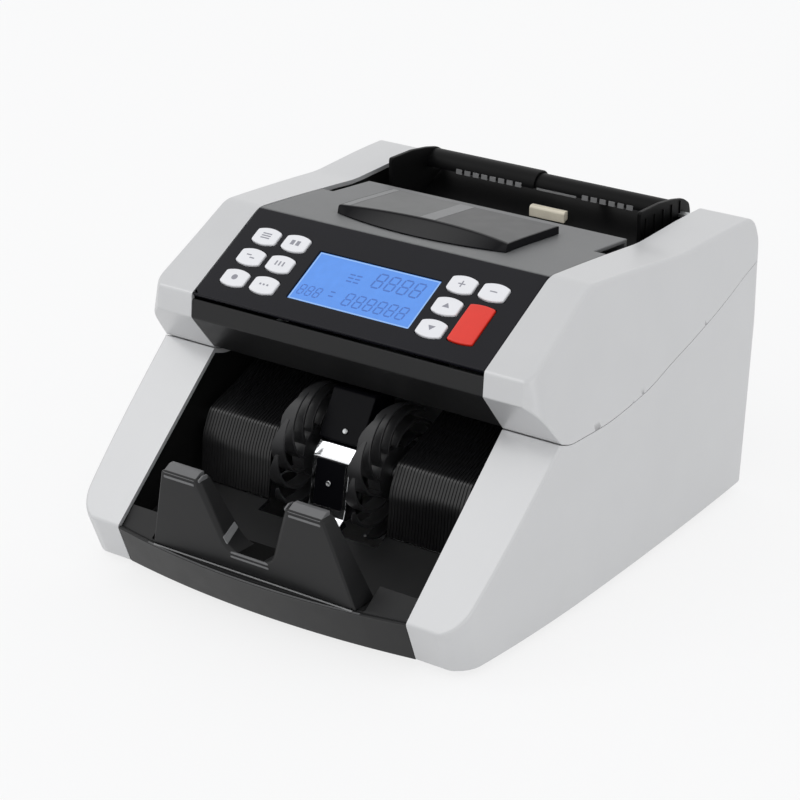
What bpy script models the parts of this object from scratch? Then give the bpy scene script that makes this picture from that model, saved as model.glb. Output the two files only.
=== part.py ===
"""Banknote counter: a table-top, back-loading note counter with its case, controls, stacker and drive.

Metres, +Z up. The operator stands at -Y and looks along +Y. The origin is the middle of the space that the
counter stands on. Every piece is placed in the case's own frame, whose zero is at the bottom front corner of
the side covers, through the empty case_datum.
"""

import math

import bmesh
import bpy
from mathutils import Matrix

# Clearances and overruns
GAP = 0.0003
OVERRUN = 0.003
KEY_CLEARANCE = 0.0004

# Case
CASE_DEPTH = 0.290
CASE_HEIGHT = 0.1725
MOUTH_HALF = 0.0961
COVER_WALL = 0.0025
FRAME_SHEET = 0.0016
BASE_SHEET = 0.002
REAR_SHEET = 0.0025
REAR_SETBACK = 0.0033
SHELL_HALF_BOTTOM = 0.1306
SHELL_HALF_BELT = 0.1320
SHELL_HALF_TOP = 0.1290
BOTTOM_FRONT_DRAW = 0.0055
BOTTOM_REAR_DRAW = 0.0050
BELT_REAR_DRAW = 0.0030
TOP_FRONT_DRAW = 0.0111
LOWER_CORNER_RADIUS = 0.0140
UPPER_CORNER_RADIUS = 0.0100
REAR_CORNER_RADIUS = 0.0040
CORNER_STEPS = 6
UPPER_STEPS = 5
FOOT_HEIGHT = 0.004
FOOT_RADIUS = 0.008
FOOT_TAPER = 0.0012
FOOT_INSET = 0.026
FOOT_PLACE = 0.0841

# Front base
BASE_BOW_BOTTOM = 0.0083
BASE_BOW_TOP = 0.0108
BASE_STATIONS = 7
BASE_RIM = 0.0030
SHELF_REAR = 0.0035
APRON_RISE = 0.0088
RECESS_HALF = 0.0705

# Controls
PANEL_SHEET = 0.0025
KEY_WIDTH = 0.0162
KEY_HEIGHT = 0.0122
KEY_END_HEIGHT = 0.0084
KEY_PROUD = 0.0012
KEY_TRAVEL = 0.0008
START_KEY_WIDTH = 0.0158
START_KEY_HEIGHT = 0.0270
DISPLAY_WIDTH = 0.0800
DISPLAY_HEIGHT = 0.0352
DISPLAY_SHEET = 0.0016
BOARD_SHEET = 0.0016
BOARD_MARGIN = 0.006

# Top
COVER_SHEET = 0.0025
LID_HALF = 0.056
LID_HEIGHT = 0.0048
LID_BOW = 0.0105
LID_STEPS = 8
NOTCH_WIDTH = 0.0081
NOTCH_LENGTH = 0.035

# Stacker
WHEEL_RADIUS = 0.039
WHEEL_HUB_RADIUS = 0.0145
WHEEL_WIDTH = 0.0086
WHEEL_PLACE = 0.0256
WHEEL_FINGERS = 12
WHEEL_PHASE_DEG = 11
FINGER_SPAN_DEG = 75
FINGER_STEPS = 7
FINGER_TIP_HALF = 0.0006
FINGER_ROOT_HALF = 0.0016
WHEEL_CLEARANCE = 0.003
GUIDE_SHEET = 0.0018
GUIDE_INNER = 0.0400
GUIDE_OUTER = 0.0880
POST_HALF = 0.0122
HOUSING_HALF = 0.0140
FLOOR_SHEET = 0.002
FASCIA_SHEET = 0.002
BRACKET_DEPTH = 0.0165
BRACKET_TOP_DEPTH = 0.0090
BRACKET_SHEET = 0.0022
BRACKET_LEAN = 0.0080
BRACKET_SETBACK = 0.0070

# Hopper
HOPPER_SHEET = 0.002
RAIL_RADIUS = 0.0025
BAR_RADIUS = 0.0088
BAR_SHEET = 0.0012
BAR_END = 0.0778
BAR_MEETING = -0.0075
BAR_OVERLAP = 0.0125
FIN_PLACE = 0.0847
FIN_SHEET = 0.0025
BLOCK_HALF = 0.0121
BLOCK_PLACE = 0.0043
BLOCK_DEPTH = 0.0045
BLOCK_HEIGHT = 0.0070
KNOB_RADIUS = 0.0027
KNOB_HEIGHT = 0.0080
KNOB_PLACE = 0.028

# Drive
SHAFT_RADIUS = 0.004
BELT_WIDTH_SHARE = 0.193
BELT_SHEET = 0.0012
PULLEY_FLANGE = 0.0015
PULLEY_CHEEK_SHARE = 0.0421
FEED_PULLEY_RADIUS = 0.018
SECOND_PULLEY_RADIUS = 0.012
MOTOR_PULLEY_RADIUS = 0.009
MOTOR_SHAFT_RADIUS = 0.0025
MOTOR_RADIUS = 0.021
MOTOR_LENGTH = 0.062
ENCODER_RADIUS = 0.0155
ENCODER_SHEET = 0.001
FEED_ROLLER_RADIUS = 0.024
FEED_ROLLER_WIDTH = 0.028
FEED_ROLLER_PLACE = 0.031
PICKUP_ROLLER_RADIUS = 0.0165
PICKUP_ROLLER_WIDTH = 0.022
PICKUP_ROLLER_PLACE = 0.030
ROUND_STEPS = 24

# Rear fittings
INLET_WIDTH = 0.0270
INLET_HEIGHT = 0.0200
INLET_DEPTH = 0.0180
INLET_FLANGE = 0.0025
INLET_WALL = 0.0020
SWITCH_WIDTH = 0.0130
SWITCH_HEIGHT = 0.0172
SWITCH_DEPTH = 0.0065
SWITCH_DISH = 0.0011
SWITCH_TILT_DEG = 10
SUPPLY_WIDTH = 0.070
SUPPLY_DEPTH = 0.045
SUPPLY_HEIGHT = 0.036

# The side view, as shares of CASE_DEPTH and CASE_HEIGHT
PANEL_TOP_SHARES = (0.4100, 1.0000)
PANEL_FRONT_SHARES = (0.2024, 0.8070)
FASCIA_BOTTOM_SHARES = (0.1986, 0.7275)
WAIST_SHARES = (0.2648, 0.5884)
LOWER_FRONT_SHARES = (-0.0324, 0.1432)
TOP_EDGE_SHARES = ((0.5345, 0.9843), (0.6655, 0.9641), (0.7172, 0.9554), (0.8724, 0.9635), (0.9586, 0.9623))
REAR_EDGE_SHARES = ((0.9759, 0.9414), (0.9910, 0.8920), (1.0000, 0.8348))
REAR_BOTTOM_SHARES = (0.9897, 0.0000)
SEAM_SHARES = (
    (0.2966, 0.5681),
    (0.4207, 0.5623),
    (0.4828, 0.5716),
    (0.5793, 0.5936),
    (0.6517, 0.6272),
    (0.7431, 0.6620),
    (0.8552, 0.7154),
    (0.9517, 0.7809),
    (0.9990, 0.8064),
)
SIDE_STATION_SHARES = (0.12, 0.22, 0.35, 0.50, 0.65, 0.80, 0.92)
WIDEST_SHARE = 0.36

# Pieces in the side view, as the same shares
NOTE_GUIDE_SHARES = (
    (0.1786, 0.1948),
    (0.1828, 0.2435),
    (0.1862, 0.2933),
    (0.1879, 0.3420),
    (0.1928, 0.3925),
    (0.2117, 0.4174),
    (0.2276, 0.4290),
    (0.3172, 0.4812),
    (0.4207, 0.5565),
)
THROAT_SHARES = ((0.2720, 0.5900), (0.2790, 0.5815), (0.4400, 0.5815))
TRAY_SHARES = ((0.0150, 0.1160), (0.1793, 0.1913))
POST_SHARES = (
    (0.2172, 0.4191),
    (0.1969, 0.3820),
    (0.1803, 0.2330),
    (0.1741, 0.2040),
    (0.1590, 0.1870),
    (0.1800, 0.1960),
    (0.2345, 0.1960),
    (0.2345, 0.4191),
)
HOUSING_SHARES = ((0.2183, 0.4226), (0.2448, 0.4990), (0.2700, 0.5700), (0.3310, 0.5700), (0.3310, 0.4226))
HOPPER_FLOOR_SHARES = ((0.9875, 0.9030), (0.9710, 0.8955), (0.7655, 0.7450), (0.7500, 0.7200))
COVER_LIP_SHARES = (0.7276, 0.8120)
FIN_TOP_SHARES = ((0.7862, 1.0130), (0.8621, 1.0110), (0.9150, 0.9990), (0.9510, 0.9855), (0.9740, 0.9620))
FIN_REAR_SHARES = (0.9800, 0.9330)
FIN_LIFT_SHARE = 0.0050
WHEEL_AXIS_SHARES = (0.2586, 0.3420)
FEED_AXIS_SHARES = (0.5517, 0.6493)
PICKUP_AXIS_SHARES = (0.7793, 0.6754)
MOTOR_AXIS_SHARES = (0.8000, 0.2203)
RAIL_AXIS_SHARES = (0.9400, 0.9330)
BLOCK_FRONT_SHARE = 0.8966
LID_FRONT_SHARE = 0.4793
LID_REAR_SHARE = 0.6586
SWITCH_PLACE_SHARES = (0.55, 0.30)
INLET_PLACE_SHARES = (-0.55, 0.30)

# The control panel's keys and display, as shares of the mouth's half width and the panel's length
LEFT_KEY_SHARES = ((-0.8044, 0.7166), (-0.5931, 0.7166), (-0.8044, 0.4826), (-0.5931, 0.4826),
                   (-0.8044, 0.2471), (-0.5931, 0.2471))
RIGHT_KEY_SHARES = ((0.5515, 0.7166), (0.7596, 0.7166), (0.5515, 0.4855), (0.5515, 0.2500))
START_KEY_SHARES = (0.7560, 0.3790)
DISPLAY_SHARES = (0.0, 0.4578)
KEY_NAMES = ("count_key", "batch_key", "add_key", "mode_key", "clear_key", "menu_key",
             "plus_key", "minus_key", "up_key", "down_key")

# The stop bracket's front view, as shares of the mouth's half width and of CASE_HEIGHT
BRACKET_OUTER_SHARES = ((0.7014, 0.1800), (0.5505, 0.4464))
BRACKET_INNER_SHARES = ((0.2930, 0.4464), (0.1394, 0.2070))

ROOT = None
PARTS = None
CUTTERS = None


def spot(shares):
    """A place in the side view: distance back from the case's front, and height."""
    return (shares[0] * CASE_DEPTH, shares[1] * CASE_HEIGHT)


def spots(table):
    return [spot(shares) for shares in table]


PANEL_TOP = spot(PANEL_TOP_SHARES)
PANEL_FRONT = spot(PANEL_FRONT_SHARES)
FASCIA_BOTTOM = spot(FASCIA_BOTTOM_SHARES)
WAIST = spot(WAIST_SHARES)
LOWER_FRONT = spot(LOWER_FRONT_SHARES)
REAR_BOTTOM = spot(REAR_BOTTOM_SHARES)
TOP_EDGE = spots(TOP_EDGE_SHARES)
REAR_EDGE = spots(REAR_EDGE_SHARES)
SEAM = spots(SEAM_SHARES)
FRONT_REACH = BASE_BOW_TOP - LOWER_FRONT[0] + BRACKET_LEAN - BRACKET_SETBACK
CASE_FRONT_Y = (FRONT_REACH - CASE_DEPTH) / 2
PANEL_RUN = PANEL_TOP[0] - PANEL_FRONT[0]
PANEL_RISE = PANEL_TOP[1] - PANEL_FRONT[1]
PANEL_LENGTH = math.hypot(PANEL_RUN, PANEL_RISE)
PANEL_SLOPE = math.atan2(PANEL_RISE, PANEL_RUN)
TRIM_HALF = MOUTH_HALF - GAP
FRAME_IN = MOUTH_HALF + GAP
FRAME_OUT = FRAME_IN + FRAME_SHEET
SIDE_ROOM = SHELL_HALF_BELT - BELT_REAR_DRAW - COVER_WALL - FRAME_OUT
BELT_WIDTH = BELT_WIDTH_SHARE * SIDE_ROOM
PULLEY_CHEEK = PULLEY_CHEEK_SHARE * SIDE_ROOM
WHEEL_AXIS = spot(WHEEL_AXIS_SHARES)
FEED_AXIS = spot(FEED_AXIS_SHARES)
PICKUP_AXIS = spot(PICKUP_AXIS_SHARES)
MOTOR_AXIS = spot(MOTOR_AXIS_SHARES)
RAIL_AXIS = spot(RAIL_AXIS_SHARES)


def material(name, colour, roughness, metallic=0.0):
    made = bpy.data.materials.new(name)
    made.use_nodes = True
    shader = made.node_tree.nodes["Principled BSDF"]
    shader.inputs["Base Color"].default_value = (*colour, 1.0)
    shader.inputs["Roughness"].default_value = roughness
    shader.inputs["Metallic"].default_value = metallic
    return made


def make_materials():
    return {
        "silver": material("silver_paint", (0.56, 0.57, 0.57), 0.42, 0.35),
        "black": material("black_plastic", (0.012, 0.012, 0.014), 0.38),
        "dark": material("dark_plastic", (0.045, 0.045, 0.047), 0.45),
        "grey": material("grey_plastic", (0.20, 0.20, 0.20), 0.5),
        "frame": material("frame_steel", (0.03, 0.03, 0.032), 0.5),
        "white": material("white_key", (0.86, 0.86, 0.88), 0.4),
        "red": material("red_key", (0.85, 0.03, 0.015), 0.35),
        "display": material("display_blue", (0.16, 0.40, 0.92), 0.2),
        "steel": material("steel", (0.45, 0.46, 0.47), 0.35, 1.0),
        "chrome": material("chrome", (0.85, 0.86, 0.88), 0.06, 1.0),
        "rubber": material("rubber", (0.02, 0.02, 0.02), 0.8),
        "ivory": material("ivory_rubber", (0.75, 0.67, 0.50), 0.6),
        "board": material("circuit_board", (0.02, 0.16, 0.06), 0.5),
    }


def clear_scene():
    for obj in list(bpy.data.objects):
        bpy.data.objects.remove(obj, do_unlink=True)


def new_collection(name):
    made = bpy.data.collections.new(name)
    bpy.context.scene.collection.children.link(made)
    return made


def add_object(name, mesh, finish, parent=None):
    """One sub-part: its mesh, its material and its parent empty."""
    obj = bpy.data.objects.new(name, mesh)
    if finish is not None:
        mesh.materials.clear()
        mesh.materials.append(finish)
    PARTS.objects.link(obj)
    obj.parent = parent or ROOT
    return obj


def as_cutter(obj):
    obj.hide_render = True
    obj.display_type = "WIRE"
    PARTS.objects.unlink(obj)
    CUTTERS.objects.link(obj)
    return obj


def boolean(obj, tool, operation):
    mod = obj.modifiers.new(operation.lower(), "BOOLEAN")
    mod.operation = operation
    mod.solver = "EXACT"
    mod.object = tool
    return obj


def cut(obj, tool):
    return boolean(obj, as_cutter(tool), "DIFFERENCE")


def join(obj, tool):
    return boolean(obj, as_cutter(tool), "UNION")


PLANES = {
    "yz": Matrix(((0, 0, 1, 0), (1, 0, 0, 0), (0, 1, 0, 0), (0, 0, 0, 1))),
    "xz": Matrix(((1, 0, 0, 0), (0, 0, -1, 0), (0, 1, 0, 0), (0, 0, 0, 1))),
    "xy": Matrix.Identity(4),
}


def flat_mesh(name, outlines, low, high, plane):
    """A flat outline, with holes if it has more loops, thickened from low to high across its plane."""
    curve = bpy.data.curves.new(name, "CURVE")
    curve.dimensions = "2D"
    curve.fill_mode = "BOTH"
    curve.extrude = (high - low) / 2
    for loop in outlines:
        spline = curve.splines.new("POLY")
        spline.points.add(len(loop) - 1)
        for point, (u, v) in zip(spline.points, loop):
            point.co = (u, v, 0, 1)
        spline.use_cyclic_u = True
    holder = bpy.data.objects.new(name, curve)
    bpy.context.scene.collection.objects.link(holder)
    graph = bpy.context.evaluated_depsgraph_get()
    mesh = bpy.data.meshes.new_from_object(holder.evaluated_get(graph))
    bpy.data.objects.remove(holder, do_unlink=True)
    bpy.data.curves.remove(curve)
    bm = bmesh.new()
    bm.from_mesh(mesh)
    bmesh.ops.remove_doubles(bm, verts=bm.verts, dist=GAP / 10)
    across = -(low + high) / 2 if plane == "xz" else (low + high) / 2
    bmesh.ops.transform(bm, matrix=PLANES[plane] @ Matrix.Translation((0, 0, across)), verts=bm.verts)
    bmesh.ops.recalc_face_normals(bm, faces=bm.faces)
    bm.to_mesh(mesh)
    bm.free()
    mesh.name = name
    return mesh


def flat_solid(name, outlines, low, high, plane, finish, parent=None):
    """low and high are measured along the axis that the plane leaves out."""
    return add_object(name, flat_mesh(name, outlines, low, high, plane), finish, parent)


def box(name, low, high, finish, parent=None, bevel=0.0):
    mesh = bpy.data.meshes.new(name)
    bm = bmesh.new()
    bmesh.ops.create_cube(bm, size=1)
    size = [b - a for a, b in zip(low, high)]
    middle = [(a + b) / 2 for a, b in zip(low, high)]
    bmesh.ops.transform(bm, matrix=Matrix.Translation(middle) @ Matrix.Diagonal((*size, 1)), verts=bm.verts)
    bm.to_mesh(mesh)
    bm.free()
    obj = add_object(name, mesh, finish, parent)
    if bevel:
        add_bevel(obj, bevel)
    return obj


def add_bevel(obj, width, segments=2, angle_deg=35):
    mod = obj.modifiers.new("edges", "BEVEL")
    mod.width = width
    mod.segments = segments
    mod.limit_method = "ANGLE"
    mod.angle_limit = math.radians(angle_deg)
    return obj


def turned(name, profile, finish, parent=None, steps=ROUND_STEPS):
    """A turned piece on its own Z. The profile holds (radius, height) from top to bottom."""
    mesh = bpy.data.meshes.new(name)
    bm = bmesh.new()
    verts = [bm.verts.new((radius, 0, height)) for radius, height in profile]
    for a, b in zip(verts, verts[1:]):
        bm.edges.new((a, b))
    if profile[0][0] > 0:
        bm.edges.new((verts[-1], verts[0]))
    bm.to_mesh(mesh)
    bm.free()
    obj = add_object(name, mesh, finish, parent)
    mod = obj.modifiers.new("turn", "SCREW")
    mod.steps = steps
    mod.render_steps = steps
    mod.use_merge_vertices = True
    mod.merge_threshold = GAP / 10
    mod.use_smooth_shade = True
    return obj


def lay_along_x(obj, place, x=0.0):
    """Turns a piece made on Z so that its +Z runs along +X, with its origin at the place."""
    obj.rotation_euler = (0, math.pi / 2, 0)
    obj.location = (x, place[0], place[1])
    return obj


def loft(name, sections, finish, parent=None):
    """A closed solid through sections that have equally many points, capped at both ends."""
    mesh = bpy.data.meshes.new(name)
    bm = bmesh.new()
    rings = [[bm.verts.new(point) for point in section] for section in sections]
    for a, b in zip(rings, rings[1:]):
        for i in range(len(a)):
            j = (i + 1) % len(a)
            bm.faces.new((a[i], a[j], b[j], b[i]))
    bm.faces.new(rings[0])
    bm.faces.new(rings[-1])
    bmesh.ops.recalc_face_normals(bm, faces=bm.faces)
    bm.to_mesh(mesh)
    bm.free()
    return add_object(name, mesh, finish, parent)


def signed_area(points):
    return sum(a[0] * b[1] - b[0] * a[1] for a, b in zip(points, points[1:] + points[:1])) / 2


def inset(points, distance):
    """The outline moved inwards by the distance, with mitred corners."""
    turn = 1 if signed_area(points) > 0 else -1
    moved = []
    for i, point in enumerate(points):
        before = points[i - 1]
        after = points[(i + 1) % len(points)]
        a = (point[0] - before[0], point[1] - before[1])
        b = (after[0] - point[0], after[1] - point[1])
        la, lb = math.hypot(*a), math.hypot(*b)
        na = (-a[1] / la * turn, a[0] / la * turn)
        nb = (-b[1] / lb * turn, b[0] / lb * turn)
        spread = 1 + na[0] * nb[0] + na[1] * nb[1]
        moved.append((point[0] + distance * (na[0] + nb[0]) / spread,
                      point[1] + distance * (na[1] + nb[1]) / spread))
    return moved


def strip(points, thickness, side=1):
    """The outline of a bent sheet: the points are one face, and the sheet lies on their left or right."""
    other = []
    for i, point in enumerate(points):
        before = points[max(i - 1, 0)]
        after = points[min(i + 1, len(points) - 1)]
        normals = []
        for start, end in ((before, point), (point, after)):
            length = math.hypot(end[0] - start[0], end[1] - start[1])
            if length > 0:
                normals.append((-(end[1] - start[1]) / length, (end[0] - start[0]) / length))
        na, nb = normals[0], normals[-1]
        spread = 1 + na[0] * nb[0] + na[1] * nb[1]
        reach = side * thickness / spread
        other.append((point[0] + reach * (na[0] + nb[0]), point[1] + reach * (na[1] + nb[1])))
    return list(points) + other[::-1]


def circle(centre, radius, steps=ROUND_STEPS):
    return [(centre[0] + radius * math.cos(2 * math.pi * i / steps),
             centre[1] + radius * math.sin(2 * math.pi * i / steps)) for i in range(steps)]


def arc(centre, radius, start_deg, end_deg, steps):
    return [(centre[0] + radius * math.cos(math.radians(start_deg + (end_deg - start_deg) * i / steps)),
             centre[1] + radius * math.sin(math.radians(start_deg + (end_deg - start_deg) * i / steps)))
            for i in range(steps + 1)]


def rectangle(centre, width, height):
    u, v = centre
    return [(u - width / 2, v - height / 2), (u + width / 2, v - height / 2),
            (u + width / 2, v + height / 2), (u - width / 2, v + height / 2)]


def shifted(points, du, dv):
    return [(u + du, v + dv) for u, v in points]


# Shell


def case_outline():
    return [(0, 0), LOWER_FRONT, WAIST, FASCIA_BOTTOM, PANEL_FRONT, PANEL_TOP, *TOP_EDGE, *REAR_EDGE, REAR_BOTTOM]


def side_half(back, height):
    """Half the shell's width at a distance back and a height: it bulges at the belt and draws in on top."""
    share = back / CASE_DEPTH - WIDEST_SHARE
    front = max(-share, 0) / WIDEST_SHARE
    rear = max(share, 0) / (1 - WIDEST_SHARE)
    bottom = SHELL_HALF_BOTTOM - BOTTOM_FRONT_DRAW * front ** 2 - BOTTOM_REAR_DRAW * rear ** 2
    belt = SHELL_HALF_BELT - BELT_REAR_DRAW * rear ** 2
    top = SHELL_HALF_TOP - TOP_FRONT_DRAW * (1 - back / CASE_DEPTH) / (1 - PANEL_FRONT_SHARES[0])
    belt_height = WAIST[1]
    if height <= belt_height:
        return bottom + (belt - bottom) * height / belt_height
    return belt + (top - belt) * (height - belt_height) / (CASE_HEIGHT - belt_height)


def shell_section(front, height, corner, inwards):
    """The shell in plan at one height, from the middle of its front round both sides."""
    rear = CASE_DEPTH - inwards
    front = front + inwards
    radius = corner - inwards
    rear_radius = REAR_CORNER_RADIUS - inwards
    half_front = side_half(front + radius, height) - inwards
    half_rear = side_half(rear - rear_radius, height) - inwards
    right = arc((half_front - radius, front + radius), radius, -90, 0, CORNER_STEPS)
    for back in (share * CASE_DEPTH for share in SIDE_STATION_SHARES):
        if back > front + radius + OVERRUN:
            right.append((side_half(back, height) - inwards, back))
    right += arc((half_rear - rear_radius, rear - rear_radius), rear_radius, 0, 90, 2)
    left = [(-x, y) for x, y in reversed(right)]
    return [(x, y, height) for x, y in right + left]


def lower_envelope(name, inwards):
    heights = ((-OVERRUN, 0), (0, 0), (LOWER_FRONT[1], LOWER_FRONT[0]), (WAIST[1], LOWER_FRONT[0]),
               (CASE_HEIGHT, LOWER_FRONT[0]))
    sections = []
    for height, front in heights:
        section = shell_section(front, max(height, 0), LOWER_CORNER_RADIUS, inwards)
        sections.append([(x, y, height) for x, y, _ in section])
    return loft(name, sections, None)


def upper_envelope(name, inwards):
    rise = CASE_HEIGHT + OVERRUN - WAIST[1]
    heights = [WAIST[1] - 2 * OVERRUN] + [WAIST[1] + rise * i / UPPER_STEPS for i in range(UPPER_STEPS + 1)]
    front = FASCIA_BOTTOM[0] - GAP
    sections = [shell_section(front, height, UPPER_CORNER_RADIUS, inwards) for height in heights]
    return loft(name, sections, None)


def make_covers(finish):
    """Four painted shells: an upper and a lower one on each side, open towards the frame."""
    reach = SHELL_HALF_BELT + OVERRUN
    seam_low = [(y, z - GAP) for y, z in SEAM]
    drop = GAP * 1.5
    lower = [(0, 0), LOWER_FRONT, (WAIST[0] - drop, WAIST[1] - drop), *seam_low, REAR_BOTTOM]
    upper = [WAIST, FASCIA_BOTTOM, PANEL_FRONT, PANEL_TOP, *TOP_EDGE, *REAR_EDGE, *reversed(SEAM)]
    hollow = inset(case_outline(), COVER_WALL)
    envelopes = {
        "lower": (lower, as_cutter(lower_envelope("lower_envelope", 0)),
                  as_cutter(lower_envelope("lower_hollow", COVER_WALL))),
        "upper": (upper, as_cutter(upper_envelope("upper_envelope", 0)),
                  as_cutter(upper_envelope("upper_hollow", COVER_WALL))),
    }
    for level, (outline, outside, inside) in envelopes.items():
        for hand, sign in (("left", -1), ("right", 1)):
            span = sorted((sign * MOUTH_HALF, sign * reach))
            cover = flat_solid(f"{level}_cover_{hand}", [outline], *span, "yz", finish)
            boolean(cover, outside, "INTERSECT")
            core_span = sorted((sign * (MOUTH_HALF - OVERRUN), sign * reach))
            core = flat_solid(f"{level}_core_{hand}", [hollow], *core_span, "yz", None)
            boolean(core, inside, "INTERSECT")
            cut(cover, core)


def make_side_plates(finish):
    """Folded steel side frames with the shafts' holes."""
    outline = inset(case_outline(), COVER_WALL + 2 * GAP)
    for hand, sign in (("left", -1), ("right", 1)):
        holes = [circle(FEED_AXIS, SHAFT_RADIUS + GAP), circle(WHEEL_AXIS, SHAFT_RADIUS + GAP),
                 circle(PICKUP_AXIS, SHAFT_RADIUS + GAP)]
        if sign > 0:
            holes.append(circle(MOTOR_AXIS, MOTOR_SHAFT_RADIUS + GAP))
        span = sorted((sign * FRAME_IN, sign * FRAME_OUT))
        flat_solid(f"side_plate_{hand}", [outline, *holes], *span, "yz", finish)


def make_base_plate(finish):
    outline = rectangle((0, (SHELF_REAR + REAR_BOTTOM[0] - REAR_SETBACK) / 2), 2 * TRIM_HALF,
                        REAR_BOTTOM[0] - REAR_SETBACK - SHELF_REAR - 2 * GAP)
    flat_solid("base_plate", [outline], 0, BASE_SHEET, "xy", finish)


def make_feet(finish):
    for depth_name, back in (("front", FOOT_INSET), ("rear", REAR_BOTTOM[0] - FOOT_INSET)):
        for hand, sign in (("left", -1), ("right", 1)):
            profile = [(0, -GAP), (FOOT_RADIUS, -GAP), (FOOT_RADIUS - FOOT_TAPER, -FOOT_HEIGHT), (0, -FOOT_HEIGHT)]
            foot = turned(f"foot_{depth_name}_{hand}", profile, finish)
            foot.location = (sign * FOOT_PLACE, back, 0)


def rear_hole(shares, width, height):
    return rectangle((shares[0] * MOUTH_HALF, shares[1] * CASE_HEIGHT), width, height)


def make_rear_cover(finish):
    """The rear panel, with the openings for the mains inlet and the power switch."""
    top = spot(HOPPER_FLOOR_SHARES[1])[1] - HOPPER_SHEET - 2 * GAP
    panel = [(-TRIM_HALF, 0), (TRIM_HALF, 0), (TRIM_HALF, top), (-TRIM_HALF, top)]
    inlet = rear_hole(INLET_PLACE_SHARES, INLET_WIDTH + 2 * GAP, INLET_HEIGHT + 2 * GAP)
    switch = rear_hole(SWITCH_PLACE_SHARES, SWITCH_WIDTH + 2 * GAP, SWITCH_HEIGHT + 8 * GAP)
    back = REAR_BOTTOM[0] - REAR_SETBACK
    flat_solid("rear_cover", [panel, inlet, switch], back, back + REAR_SHEET, "xz", finish)


# Front base and stacker


def base_section(x):
    """The front base at one place across: a leaning front wall with a shelf or a sloping apron behind it."""
    share = (x / MOUTH_HALF) ** 2
    bottom = -BASE_BOW_BOTTOM * (1 - share)
    edge = LOWER_FRONT[0] - BASE_BOW_TOP * (1 - share)
    height = LOWER_FRONT[1]
    rear = height + (APRON_RISE if abs(x) > RECESS_HALF else 0)
    return [(x, bottom, 0), (x, edge, height), (x, SHELF_REAR - GAP, rear),
            (x, SHELF_REAR - GAP, rear - BASE_RIM), (x, edge + BASE_RIM, height - BASE_RIM),
            (x, bottom + BASE_RIM, 0)]


def make_front_base(finish):
    inner = [RECESS_HALF * i / BASE_STATIONS for i in range(BASE_STATIONS + 1)]
    outer = [RECESS_HALF + GAP, (RECESS_HALF + TRIM_HALF) / 2, TRIM_HALF]
    places = inner[1:] + outer
    stations = [-x for x in reversed(places)] + [0] + places
    loft("front_base", [base_section(x) for x in stations], finish)


def make_tray_floor(finish):
    """The tray that the counted notes stand on, with slots for the stacker wheels."""
    line = spots(TRAY_SHARES)
    tray = flat_solid("tray_floor", [strip(line, FLOOR_SHEET, -1)], -TRIM_HALF, TRIM_HALF, "yz", finish)
    wheel_front = WHEEL_AXIS[0] - WHEEL_RADIUS - WHEEL_CLEARANCE
    slot_front = wheel_front + (line[1][0] - wheel_front) / 2
    for hand, sign in (("left", -1), ("right", 1)):
        across = sorted((sign * (POST_HALF + GAP), sign * GUIDE_INNER))
        low = (across[0], slot_front, line[0][1] - OVERRUN)
        high = (across[1], line[1][0] + OVERRUN, line[1][1] + OVERRUN)
        cut(tray, box(f"tray_slot_{hand}", low, high, None))


def make_note_guides(finish):
    """The walls behind the stack, bent back over the wheels towards the feed rollers."""
    line = spots(NOTE_GUIDE_SHARES)
    for hand, sign in (("left", -1), ("right", 1)):
        span = sorted((sign * GUIDE_INNER, sign * GUIDE_OUTER))
        flat_solid(f"note_guide_{hand}", [strip(line, GUIDE_SHEET, -1)], *span, "yz", finish)


def make_centre_post(finish):
    flat_solid("centre_post", [spots(POST_SHARES)], -POST_HALF, POST_HALF, "yz", finish)


def make_sensor_housing(finish):
    flat_solid("sensor_housing", [spots(HOUSING_SHARES)], -HOUSING_HALF, HOUSING_HALF, "yz", finish)


def make_throat_plate(finish):
    flat_solid("throat_plate", [strip(spots(THROAT_SHARES), GUIDE_SHEET)], -TRIM_HALF, TRIM_HALF, "yz", finish)


def bracket_outline():
    """The stop bracket's U in front view: two broad fingers that narrow upwards, joined by a low sill."""
    outer = [(u * MOUTH_HALF, v * CASE_HEIGHT) for u, v in BRACKET_OUTER_SHARES]
    outer.insert(0, (outer[0][0], LOWER_FRONT[1] + GAP))
    inner = [(u * MOUTH_HALF, v * CASE_HEIGHT) for u, v in BRACKET_INNER_SHARES]
    right = outer + inner
    left = [(-x, z) for x, z in reversed(right)]
    return right + left


def make_stop_bracket(finish):
    """A moulding that leans forwards, hollow from behind, standing on the base's shelf."""
    outline = bracket_outline()
    foot = outline[0][1]
    top = outline[2][1]
    front = LOWER_FRONT[0] - BASE_BOW_TOP + BRACKET_SETBACK
    bracket = flat_solid("stop_bracket", [outline], 0, BRACKET_DEPTH, "xz", finish)
    hollow = flat_solid("bracket_hollow", [inset(outline, BRACKET_SHEET)], BRACKET_SHEET,
                        BRACKET_DEPTH + OVERRUN, "xz", None)
    wedge_outline = [(BRACKET_TOP_DEPTH, top + OVERRUN), (BRACKET_DEPTH, foot + OVERRUN),
                     (BRACKET_DEPTH + 2 * OVERRUN, foot + OVERRUN), (BRACKET_DEPTH + 2 * OVERRUN, top + OVERRUN)]
    wide = outline[0][0] + OVERRUN
    wedge = flat_solid("bracket_taper", [wedge_outline], -wide, wide, "yz", None)
    cut(bracket, hollow)
    cut(bracket, wedge)
    lean = Matrix.Shear("XY", 4, (0, -BRACKET_LEAN / (top - foot)))
    for piece in (bracket, hollow, wedge):
        piece.data.transform(Matrix.Translation((0, front, foot)) @ lean @ Matrix.Translation((0, 0, -foot)))
    return bracket


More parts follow.
